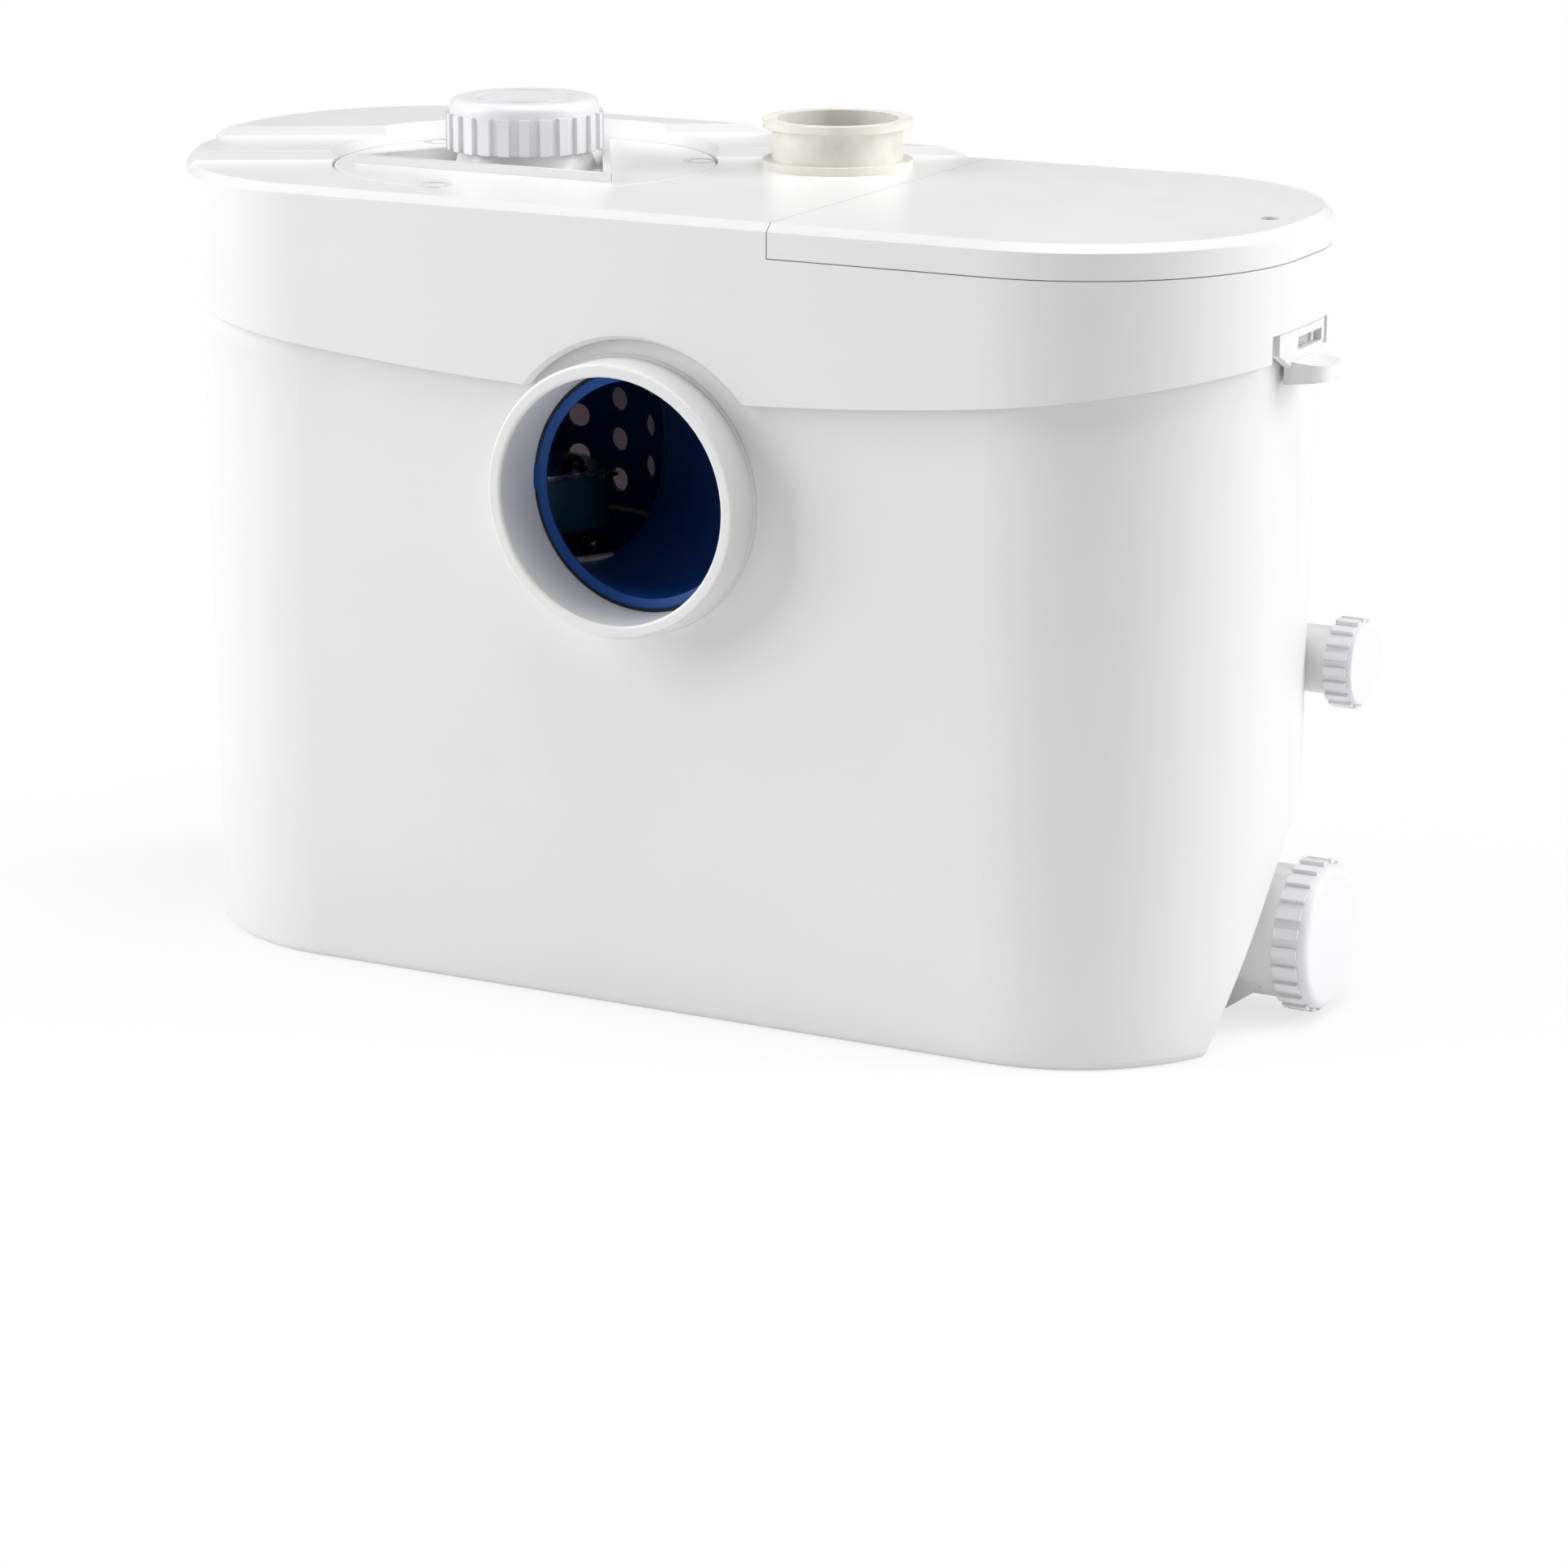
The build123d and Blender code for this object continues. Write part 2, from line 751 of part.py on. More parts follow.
# Rubber grommet where the mains lead enters
with BuildPart() as cable_grommet:
    with BuildSketch(cable_plane(overrun)):
        Circle(grommet_radius)
    extrude(amount=-lid_wall - 2 * overrun)
    for reach in (overrun, -lid_wall - overrun - grommet_flange_thick):
        with BuildSketch(cable_plane(reach)):
            Circle(grommet_flange)
        extrude(amount=grommet_flange_thick)
    with BuildSketch(cable_plane(overrun + 2 * grommet_flange_thick)):
        Circle(grommet_bore)
    extrude(amount=-corner_radius / 2, mode=Mode.SUBTRACT)
save(cable_grommet.part, "cable_grommet")

# Round service cover with a three-sided rib frame, a sunk pocket and the capped stub
groove_z = cover_seat - lid_wall / 2
with BuildPart() as service_cover:
    with BuildSketch(level(cover_seat + seat_gap)):
        with Locations(basket_hole):
            Circle(cover_radius)
    extrude(amount=lid_top - cover_seat - seat_gap)
    fillet(service_cover.faces().sort_by(Axis.Z)[-1].edges(), cover_edge_round)
    with BuildSketch(level(lid_top)):
        with Locations(basket_hole):
            RegularPolygon(frame_corner_radius, 3, rotation=90)
    extrude(amount=frame_rise)
    with BuildSketch(level(lid_top - pocket_depth)):
        with Locations(basket_hole):
            RegularPolygon(frame_corner_radius - 2 * frame_rib, 3, rotation=90)
    extrude(amount=pocket_depth + frame_rise + overrun, mode=Mode.SUBTRACT)
    # Coned foot and stub
    with BuildSketch(Plane.XZ):
        with BuildLine():
            Polyline(
                (axis_x, lid_top - pocket_depth),
                (axis_x + cone_radius, lid_top - pocket_depth),
                (axis_x + stub_radius, stub_root),
                (axis_x + stub_radius, stub_end),
                (axis_x, stub_end),
                close=True,
            )
        make_face()
    revolve(axis=upright_axis)
    # Plug that fills the opening, with a groove for the ring seal
    with BuildSketch(level(cover_seat + seat_gap - plug_depth)):
        with Locations(basket_hole):
            Circle(cover_opening - seat_gap)
            Circle(cover_opening - seat_gap - 2 * lid_wall, mode=Mode.SUBTRACT)
    extrude(amount=plug_depth)
    with BuildSketch(Plane.XZ):
        with Locations((axis_x + cover_opening - oring_radius - fit_gap, groove_z)):
            Circle(oring_radius + fit_gap / 2)
    revolve(axis=upright_axis, mode=Mode.SUBTRACT)
    with BuildSketch(level(cover_seat - plug_depth)):
        with Locations(basket_hole):
            Circle(stub_bore)
    extrude(amount=tank_length, mode=Mode.SUBTRACT)
    # Three sunk screws on the edge, one beside each side of the frame
    with BuildSketch(level(lid_top - screw_sink)):
        with Locations(basket_hole):
            with PolarLocations(cover_screw_radius, 3, start_angle=-90):
                Circle(cover_screw_sink)
    extrude(amount=tank_length, mode=Mode.SUBTRACT)
    with BuildSketch(level(cover_seat)):
        with Locations(basket_hole):
            with PolarLocations(cover_screw_radius, 3, start_angle=-90):
                Circle(cover_screw_shank + fit_gap)
    extrude(amount=tank_length, mode=Mode.SUBTRACT)
save(service_cover.part, "service_cover")

with BuildPart() as cover_seal:
    with BuildSketch(Plane.XZ):
        with Locations((axis_x + cover_opening - oring_radius - fit_gap, groove_z)):
            Circle(oring_radius)
    revolve(axis=upright_axis)
save(cover_seal.part, "cover_seal")

with BuildPart() as cover_screws:
    with BuildSketch(level(lid_top - screw_sink)):
        with Locations(basket_hole):
            with PolarLocations(cover_screw_radius, 3, start_angle=-90):
                Circle(cover_screw_head)
    extrude(amount=screw_sink - fit_gap)
    with BuildSketch(level(cover_seat - lid_wall)):
        with Locations(basket_hole):
            with PolarLocations(cover_screw_radius, 3, start_angle=-90):
                Circle(cover_screw_shank)
    extrude(amount=lid_top - screw_sink - cover_seat + lid_wall)
save(cover_screws.part, "cover_screws")


def ribbed_cap(plane, radius, height, band, edge_round, count, bore, depth, groove=False):
    """Screw cap with its open end on a plane and ribs on the band next to it."""
    with BuildPart() as cap:
        with BuildSketch():
            Circle(radius)
        extrude(amount=height)
        fillet(cap.faces().sort_by(Axis.Z)[-1].edges(), edge_round)
        rib_width = rib_share * radius * math.radians(360 / count)
        with BuildSketch():
            with PolarLocations(radius, count):
                Rectangle(2 * rib_height, rib_width)
        extrude(amount=band)
        with BuildSketch(level(-overrun)):
            Circle(bore)
        extrude(amount=depth + overrun, mode=Mode.SUBTRACT)
        if groove:
            with BuildSketch(level(height - groove_depth)):
                Circle(groove_outer)
                Circle(groove_inner, mode=Mode.SUBTRACT)
            extrude(amount=groove_depth + overrun, mode=Mode.SUBTRACT)
    return plane.location * cap.part


# Top cap on the stub of the service cover
top_cap_low = stub_root + seat_gap
top_cap = ribbed_cap(
    Plane(origin=(axis_x, 0, top_cap_low)),
    top_cap_radius, top_cap_height, top_cap_band, cap_round, cap_ribs,
    stub_radius + seat_gap, stub_end + cap_seal - top_cap_low, groove=True,
)
save(top_cap, "top_cap")

with BuildPart() as top_cap_seal:
    with BuildSketch(level(stub_end)):
        with Locations(basket_hole):
            Circle(stub_radius)
            Circle(stub_bore, mode=Mode.SUBTRACT)
    extrude(amount=cap_seal - seal_gap)
save(top_cap_seal.part, "top_cap_seal")

# Caps and seals on the two side ports
for name, y, z, stub, bore, radius, height, band, edge_round, count in (
    (
        "upper_side", upper_port_y, upper_port_z, upper_port_radius, upper_port_bore,
        upper_cap_radius, upper_cap_height, upper_cap_band, upper_cap_round, small_cap_ribs,
    ),
    (
        "lower_side", lower_port_y, lower_port_z, lower_port_radius, lower_port_bore,
        lower_cap_radius, lower_cap_height, lower_cap_band, lower_cap_round, cap_ribs,
    ),
):
    cap_low = port_cap_face - height
    side_cap = ribbed_cap(
        Plane(origin=(cap_low, y, z), x_dir=(0, 1, 0), z_dir=(1, 0, 0)),
        radius, height, band, edge_round, count, stub + seat_gap, port_end - cap_low,
    )
    save(side_cap, name + "_cap")
    with BuildPart() as side_seal:
        with BuildSketch(Plane.YZ.offset(stub_end_x)):
            with Locations((y, z)):
                Circle(stub)
                Circle(bore, mode=Mode.SUBTRACT)
        extrude(amount=cap_seal - seal_gap)
    save(side_seal.part, name + "_seal")

# Rubber discharge collar, a spool that passes through the lid into the valve
with BuildPart() as discharge_collar:
    with BuildSketch(facing_front(discharge_y)):
        with BuildLine():
            Polyline(
                (discharge_x + collar_bore, plate_under),
                (discharge_x + collar_radius, plate_under),
                (discharge_x + collar_radius, lid_top),
                (discharge_x + collar_flange, lid_top),
                (discharge_x + collar_flange, lid_top + collar_flange_thick),
                (discharge_x + collar_radius, lid_top + collar_flange_thick),
                (discharge_x + collar_radius, collar_top - collar_flange_thick),
                (discharge_x + collar_flange, collar_top - collar_flange_thick),
                (discharge_x + collar_flange, collar_top),
                (discharge_x + collar_bore, collar_top),
                close=True,
            )
        make_face()
    revolve(axis=Axis((discharge_x, discharge_y, 0), (0, 0, 1)))
save(discharge_collar.part, "discharge_collar")

# Non-return valve under the lid
flap_z = valve_seat + valve_seat_thick + seat_gap
pin_y = discharge_y + flap_hinge_y
pin_z = flap_z + flap_eye
tail_bore = pipe_radius + seat_gap
with BuildPart() as valve_body:
    with BuildSketch(level(valve_seat)):
        with Locations((discharge_x, discharge_y)):
            Circle(valve_radius)
    extrude(amount=plate_under - valve_seat)
    with BuildSketch(level(valve_seat - tail_length)):
        with Locations((discharge_x, discharge_y)):
            Circle(tail_bore + tail_wall)
    extrude(amount=tail_length)
    with BuildSketch(level(valve_seat + valve_seat_thick)):
        with Locations((discharge_x, discharge_y)):
            Circle(valve_bore)
    extrude(amount=tank_length, mode=Mode.SUBTRACT)
    with BuildSketch(level(valve_seat - tail_length)):
        with Locations((discharge_x, discharge_y)):
            Circle(valve_port)
    extrude(amount=tank_length, mode=Mode.SUBTRACT)
    with BuildSketch(level(valve_seat - tail_length)):
        with Locations((discharge_x, discharge_y)):
            Circle(tail_bore)
    extrude(amount=tail_length, mode=Mode.SUBTRACT)
    # Ears that hold the flap pin
    with BuildSketch(level(valve_seat + valve_seat_thick)):
        with Locations((discharge_x, pin_y)):
            with GridLocations(flap_pin_length - 2 * flap_eye, 0, 2, 1):
                Rectangle(2 * flap_eye, 2 * flap_eye)
    extrude(amount=2 * flap_eye + 2 * seat_gap)
    with BuildSketch(Plane.YZ.offset(discharge_x - flap_pin_length / 2 - overrun)):
        with Locations((pin_y, pin_z)):
            Circle(flap_pin_radius + running_gap)
    extrude(amount=flap_pin_length + 2 * overrun, mode=Mode.SUBTRACT)
save(valve_body.part, "valve_body")

with BuildPart() as flap_pin:
    with BuildSketch(Plane.YZ.offset(discharge_x - flap_pin_length / 2)):
        with Locations((pin_y, pin_z)):
            Circle(flap_pin_radius)
    extrude(amount=flap_pin_length)
save(flap_pin.part, "flap_pin")

eye_length = flap_pin_length - 6 * flap_eye
with BuildPart() as valve_flap:
    with BuildSketch(level(flap_z)):
        with Locations((discharge_x, discharge_y)):
            Circle(flap_radius)
        with Locations((discharge_x, discharge_y + flap_hinge_y / 2)):
            Rectangle(eye_length, flap_hinge_y)
    extrude(amount=flap_thick)
    with BuildSketch(Plane.YZ.offset(discharge_x - eye_length / 2)):
        with Locations((pin_y, pin_z)):
            Circle(flap_eye)
    extrude(amount=eye_length)
    with BuildSketch(Plane.YZ.offset(discharge_x - eye_length / 2 - overrun)):
        with Locations((pin_y, pin_z)):
            Circle(flap_pin_radius + running_gap)
    extrude(amount=eye_length + 2 * overrun, mode=Mode.SUBTRACT)
save(valve_flap.part, "valve_flap")

# Inlet chute: a collar behind the soil inlet, a short straight and an elbow to the basket
with BuildPart() as inlet_chute:
    with BuildSketch(facing_front(-chute_front)):
        with Locations((0, inlet_height)):
            Circle(chute_outer)
    extrude(amount=-chute_straight)
    with Locations(bend_plane):
        Sphere(chute_outer)
    with BuildSketch(bend_plane):
        Circle(chute_outer)
    extrude(amount=-axis_x)
    split(bisect_by=facing_front(-chute_front), keep=Keep.BOTTOM)
    with BuildSketch(facing_front(-chute_front)):
        with Locations((0, inlet_height)):
            Circle(chute_collar)
    extrude(amount=-chute_collar_length)
    # Lip inside the seal
    with BuildSketch(facing_front(-chute_front)):
        with Locations((0, inlet_height)):
            Circle(chute_lip)
    extrude(amount=seal_thick)
    # The end follows the basket
    with BuildSketch(level(0)):
        with Locations(basket_hole):
            Circle(basket_radius + seat_gap)
    extrude(amount=lid_top, mode=Mode.SUBTRACT)
    # Bore
    with BuildSketch(facing_front(-bore_back - overrun)):
        with Locations((0, inlet_height)):
            Circle(chute_bore)
    extrude(amount=-chute_straight - seal_thick - overrun, mode=Mode.SUBTRACT)
    with Locations(bend_plane):
        Sphere(chute_bore, mode=Mode.SUBTRACT)
    with BuildSketch(bend_plane):
        Circle(chute_bore)
    extrude(amount=-axis_x, mode=Mode.SUBTRACT)
    # Fine groove round the lip and a notch at its left
    with BuildSketch(facing_front(-bore_back)):
        with Locations((0, inlet_height)):
            Circle(chute_groove + chute_groove_width / 2)
            Circle(chute_groove - chute_groove_width / 2, mode=Mode.SUBTRACT)
        with Locations((-chute_groove, inlet_height)):
            Rectangle(2 * (chute_lip - chute_bore), notch_width)
    extrude(amount=-notch_depth, mode=Mode.SUBTRACT)
save(inlet_chute.part, "inlet_chute")

# Seal ring between the soil inlet tube and the chute
with BuildPart() as inlet_seal:
    with BuildSketch(facing_front(-bore_back)):
        with Locations((0, inlet_height)):
            Circle(chute_collar)
            Circle(seal_bore, mode=Mode.SUBTRACT)
    extrude(amount=-seal_thick)
save(inlet_seal.part, "inlet_seal")

# Perforated basket: screen, band seal and pan
with BuildPart() as basket_screen:
    with BuildSketch(level(pan_top + band_height)):
        with Locations(basket_hole):
            Circle(basket_radius)
    extrude(amount=basket_top - pan_top - band_height)
    with BuildSketch(level(basket_top - basket_wall)):
        with Locations(basket_hole):
            Circle(basket_radius + basket_flange)
    extrude(amount=basket_wall)
    with BuildSketch(level(0)):
        with Locations(basket_hole):
            Circle(basket_radius - basket_wall)
    extrude(amount=lid_top, mode=Mode.SUBTRACT)
    # Mouth that the chute opens into
    with BuildSketch(bend_plane):
        Circle(chute_bore)
    extrude(amount=-axis_x, mode=Mode.SUBTRACT)
    # Staggered round holes in the back and the left of the wall
    for column in range(hole_columns):
        turn = math.radians(hole_turn + column * hole_angle)
        upper = column % 2
        column_plane = Plane(
            origin=(axis_x, 0, hole_first + upper * hole_pitch / 2),
            x_dir=(0, 0, 1),
            z_dir=(math.cos(turn), math.sin(turn), 0),
        )
        with BuildSketch(column_plane):
            for row in range(hole_rows):
                with Locations((row * hole_pitch, 0)):
                    Circle(hole_radius)
        extrude(amount=basket_radius + basket_wall, mode=Mode.SUBTRACT)
save(basket_screen.part, "basket_screen")

with BuildPart() as basket_band:
    with BuildSketch(level(pan_top)):
        with Locations(basket_hole):
            Circle(basket_radius)
            Circle(basket_radius - basket_wall - band_step, mode=Mode.SUBTRACT)
    extrude(amount=band_height)
save(basket_band.part, "basket_band")

with BuildPart() as basket_pan:
    with BuildSketch(level(pan_base)):
        with Locations(basket_hole):
            Circle(basket_radius)
    extrude(amount=pan_top - pan_base)
    with BuildSketch(level(pan_base + basket_wall)):
        with Locations(basket_hole):
            Circle(basket_radius - basket_wall)
    extrude(amount=pan_top, mode=Mode.SUBTRACT)
    with BuildSketch(level(pan_base - overrun)):
        with Locations(basket_hole):
            Circle(neck_radius + fit_gap)
            with PolarLocations(pan_nut_reach, 3, start_angle=pan_nut_turn):
                Circle(pan_nut_radius / 2 + fit_gap)
    extrude(amount=basket_wall + 2 * overrun, mode=Mode.SUBTRACT)
save(basket_pan.part, "basket_pan")


def dome_nuts(name, ring, count, start, base, radius, height, stud):
    """Dome nuts on a circle about the shaft, each with its stud below."""
    with BuildPart() as nuts:
        with BuildSketch(level(base)):
            with Locations(basket_hole):
                with PolarLocations(ring, count, start_angle=start):
                    RegularPolygon(radius, 6)
        extrude(amount=height)
        with BuildSketch(level(base + height)):
            with Locations(basket_hole):
                with PolarLocations(ring, count, start_angle=start):
                    Circle(radius * math.sqrt(3) / 2 - fit_gap)
        extrude(amount=radius / 2)
        fillet(nuts.faces().group_by(Axis.Z)[-1].edges(), radius / 2 - fit_gap)
        with BuildSketch(level(base - stud)):
            with Locations(basket_hole):
                with PolarLocations(ring, count, start_angle=start):
                    Circle(radius / 2)
        extrude(amount=stud)
    save(nuts.part, name)


def sleeve(name, base, height, outer, inner):
    """Plain ring about the shaft."""
    with BuildPart() as ring:
        with BuildSketch(level(base)):
            with Locations(basket_hole):
                Circle(outer)
                Circle(inner, mode=Mode.SUBTRACT)
        extrude(amount=height)
    save(ring.part, name)


dome_nuts(
    "pan_nuts", pan_nut_reach, 3, pan_nut_turn, pan_base + basket_wall,
    pan_nut_radius, pan_nut_height, basket_wall,
)

# Motor: can, top flange with neck, stator, bearings and shaft seals
with BuildPart() as motor_can:
    with BuildSketch(level(motor_base)):
        with Locations(basket_hole):
            Circle(motor_radius)
    extrude(amount=motor_top - motor_base)
    with BuildSketch(level(motor_base + motor_wall)):
        with Locations(basket_hole):
            Circle(motor_radius - motor_wall)
    extrude(amount=motor_top, mode=Mode.SUBTRACT)
    with BuildSketch(level(motor_base + motor_wall)):
        with Locations(basket_hole):
            Circle(bearing_radius + bearing_wall)
            Circle(bearing_radius + fit_gap, mode=Mode.SUBTRACT)
    extrude(amount=bearing_length)
    with BuildSketch(level(motor_base - overrun)):
        with Locations(basket_hole):
            Circle(neck_bore)
    extrude(amount=motor_wall + 2 * overrun, mode=Mode.SUBTRACT)
save(motor_can.part, "motor_can")

with BuildPart() as motor_flange_cap:
    with BuildSketch(level(motor_top)):
        with Locations(basket_hole):
            Circle(motor_flange)
    extrude(amount=motor_flange_thick)
    with BuildSketch(level(motor_top + motor_flange_thick)):
        with Locations(basket_hole):
            Circle(neck_radius)
    extrude(amount=neck_top - motor_top - motor_flange_thick)
    with BuildSketch(level(motor_top - bearing_length)):
        with Locations(basket_hole):
            Circle(bearing_radius + bearing_wall)
    extrude(amount=bearing_length)
    with BuildSketch(level(motor_top - bearing_length)):
        with Locations(basket_hole):
            Circle(bearing_radius + fit_gap)
    extrude(amount=bearing_length, mode=Mode.SUBTRACT)
    with BuildSketch(level(motor_top - overrun)):
        with Locations(basket_hole):
            Circle(neck_bore)
    extrude(amount=neck_top, mode=Mode.SUBTRACT)
save(motor_flange_cap.part, "motor_flange_cap")

sleeve("stator", stator_low, stator_high - stator_low, stator_radius, stator_bore)
sleeve("lower_bearing", motor_base + motor_wall, bearing_length, bearing_radius, shaft_bore)
sleeve("upper_bearing", motor_top - bearing_length, bearing_length, bearing_radius, shaft_bore)
sleeve("lower_shaft_seal", volute_roof_z, volute_roof + motor_wall, neck_bore - fit_gap, shaft_bore)
sleeve("upper_shaft_seal", neck_top - bearing_length, bearing_length, neck_bore - fit_gap, shaft_bore)

# Pump casing under the motor, with a straight outlet along +X
with BuildPart() as volute:
    with BuildSketch(level(volute_base)):
        with Locations(basket_hole):
            Circle(volute_radius)
    extrude(amount=motor_base - volute_base)
    with BuildSketch(Plane.YZ.offset(axis_x)):
        with Locations((discharge_y, outlet_z)):
            Circle(outlet_radius)
    extrude(amount=outlet_reach)
    with BuildSketch(level(volute_base)):
        with Locations(basket_hole):
            Circle(volute_radius - volute_wall)
    extrude(amount=volute_roof_z - volute_base, mode=Mode.SUBTRACT)
    with BuildSketch(Plane.YZ.offset(axis_x)):
        with Locations((discharge_y, outlet_z)):
            Circle(outlet_bore)
    extrude(amount=outlet_reach + overrun, mode=Mode.SUBTRACT)
    with BuildSketch(level(volute_base)):
        with Locations(basket_hole):
            Circle(neck_bore)
    extrude(amount=motor_base, mode=Mode.SUBTRACT)
save(volute.part, "volute")

plate_low = volute_base - plate_thick
with BuildPart() as suction_plate:
    with BuildSketch(level(plate_low)):
        with Locations(basket_hole):
            Circle(volute_radius)
    extrude(amount=plate_thick)
    with BuildSketch(level(plate_low - suction_skirt)):
        with Locations(basket_hole):
            Circle(suction_radius + plate_thick)
    extrude(amount=suction_skirt)
    with BuildSketch(level(0)):
        with Locations(basket_hole):
            Circle(suction_radius)
    extrude(amount=volute_base, mode=Mode.SUBTRACT)
save(suction_plate.part, "suction_plate")

with BuildPart() as pump_feet:
    with BuildSketch(level(tank_wall)):
        with Locations(basket_hole):
            with PolarLocations(foot_reach, 3, start_angle=foot_turn):
                Circle(foot_radius)
    extrude(amount=plate_low - tank_wall)
save(pump_feet.part, "pump_feet")

# Discharge hose over the outlet, round one bend and up into the valve
hose_start = axis_x + outlet_reach - hose_overlap
with BuildPart() as discharge_hose:
    with BuildLine(facing_front(discharge_y)):
        Line((hose_start, outlet_z), (discharge_x - pipe_bend, outlet_z))
        JernArc(
            start=(discharge_x - pipe_bend, outlet_z), tangent=(1, 0), radius=pipe_bend, arc_size=90
        )
        Line((discharge_x, outlet_z + pipe_bend), (discharge_x, valve_seat - seat_gap))
    with BuildSketch(Plane.YZ.offset(hose_start)):
        with Locations((discharge_y, outlet_z)):
            Circle(pipe_radius)
            Circle(pipe_bore, mode=Mode.SUBTRACT)
    sweep()
save(discharge_hose.part, "discharge_hose")

# Rotor: shaft, core, impeller, cutter hub, blade and its two nuts
with BuildPart() as shaft:
    with BuildSketch(level(shaft_low)):
        with Locations(basket_hole):
            Circle(shaft_radius)
    extrude(amount=shaft_high - shaft_low)
save(shaft.part, "shaft")
sleeve("rotor_core", stator_low, stator_high - stator_low, core_radius, shaft_bore)

with BuildPart() as impeller:
    with BuildSketch(level(impeller_high - impeller_disc)):
        with Locations(basket_hole):
            Circle(impeller_radius)
    extrude(amount=impeller_disc)
    with BuildSketch(level(impeller_low)):
        with Locations(basket_hole):
            Circle(impeller_hub)
            with PolarLocations((impeller_radius + impeller_hub) / 2, vane_count):
                Rectangle(impeller_radius - impeller_hub, vane_thick, rotation=vane_sweep)
    extrude(amount=impeller_high - impeller_disc - impeller_low)
    with BuildSketch(level(0)):
        with Locations(basket_hole):
            Circle(shaft_bore)
    extrude(amount=motor_base, mode=Mode.SUBTRACT)
save(impeller.part, "impeller")

with BuildPart() as cutter_hub:
    with BuildSketch(level(hub_low)):
        with Locations(basket_hole):
            Circle(hub_radius)
    extrude(amount=hub_high - hub_low)
    with BuildSketch(level(hub_low)):
        with Locations(basket_hole):
            Circle(hub_radius + hub_lip)
    extrude(amount=hub_lip_height)
    with BuildSketch(level(hub_low)):
        with Locations(basket_hole):
            Circle(shaft_bore)
    extrude(amount=hub_high - hub_low, mode=Mode.SUBTRACT)
    with BuildSketch(level(hub_high)):
        with Locations(basket_hole):
            with PolarLocations(cutter_nut_reach, 2, start_angle=blade_turn):
                Circle(cutter_nut_radius / 2 + fit_gap)
    extrude(amount=-cutter_stud, mode=Mode.SUBTRACT)
save(cutter_hub.part, "cutter_hub")

with BuildPart() as cutter_blade:
    with BuildSketch(level(hub_high)):
        with Locations(basket_hole):
            Circle(cutter_nut_reach + cutter_nut_radius)
            Rectangle(2 * blade_length, blade_width, rotation=blade_turn)
            with PolarLocations(cutter_nut_reach, 2, start_angle=blade_turn):
                Circle(cutter_nut_radius / 2 + fit_gap, mode=Mode.SUBTRACT)
    extrude(amount=blade_thick)
save(cutter_blade.part, "cutter_blade")
dome_nuts(
    "cutter_nuts", cutter_nut_reach, 2, blade_turn, hub_high + blade_thick,
    cutter_nut_radius, cutter_nut_height, cutter_stud,
)

# Pressure tube under the tub
with BuildPart() as pressure_tube:
    with BuildSketch(level(tube_low)):
        with Locations((tube_x, 0)):
            Circle(tube_radius)
            Circle(tube_bore, mode=Mode.SUBTRACT)
    extrude(amount=tub_floor - tube_low)
save(pressure_tube.part, "pressure_tube")

# Pressure switch: cup, diaphragm, cover, plunger and the micro switch that it presses
cup_top = tub_plane_z + switch_height
cover_base = cup_top + diaphragm_thick
cover_top = cover_base + switch_height
chamber_radius = switch_radius - switch_rim
with BuildPart() as switch_cup:
    with BuildSketch(level(tub_plane_z)):
        with Locations((tube_x, 0)):
            Circle(switch_radius)
    extrude(amount=switch_height)
    with BuildSketch(level(tub_plane_z + switch_floor)):
        with Locations((tube_x, 0)):
            Circle(chamber_radius)
    extrude(amount=switch_height, mode=Mode.SUBTRACT)
    with BuildSketch(level(tub_plane_z)):
        with Locations((tube_x, 0)):
            Circle(plunger_radius)
    extrude(amount=switch_floor, mode=Mode.SUBTRACT)
save(switch_cup.part, "switch_cup")

with BuildPart() as diaphragm:
    with BuildSketch(level(cup_top)):
        with Locations((tube_x, 0)):
            Circle(switch_radius)
    extrude(amount=diaphragm_thick)
save(diaphragm.part, "diaphragm")

with BuildPart() as switch_cover:
    with BuildSketch(level(cover_base)):
        with Locations((tube_x, 0)):
            Circle(switch_radius)
    extrude(amount=switch_height)
    with BuildSketch(level(cover_base)):
        with Locations((tube_x, 0)):
            Circle(chamber_radius)
    extrude(amount=switch_height - switch_floor, mode=Mode.SUBTRACT)
    with BuildSketch(level(cover_base)):
        with Locations((tube_x, 0)):
            Circle(plunger_radius + fit_gap)
    extrude(amount=switch_height, mode=Mode.SUBTRACT)
save(switch_cover.part, "switch_cover")

plunger_low = cover_base + seat_gap
with BuildPart() as switch_plunger:
    with BuildSketch(level(plunger_low)):
        with Locations((tube_x, 0)):
            Circle(plunger_foot)
    extrude(amount=plunger_foot_thick)
    with BuildSketch(level(plunger_low)):
        with Locations((tube_x, 0)):
            Circle(plunger_radius)
    extrude(amount=cover_top + micro_leg - plunger_travel - 2 * seat_gap - plunger_low)
save(switch_plunger.part, "switch_plunger")

with BuildPart() as micro_switch:
    with BuildSketch(level(cover_top + micro_leg)):
        with Locations((tube_x, 0)):
            Rectangle(micro_width, micro_length)
    extrude(amount=micro_height)
    with BuildSketch(level(cover_top)):
        with Locations((tube_x, 0)):
            with GridLocations(0, micro_length - micro_leg, 1, 2):
                Rectangle(micro_width, micro_leg)
    extrude(amount=micro_leg)
save(micro_switch.part, "micro_switch")

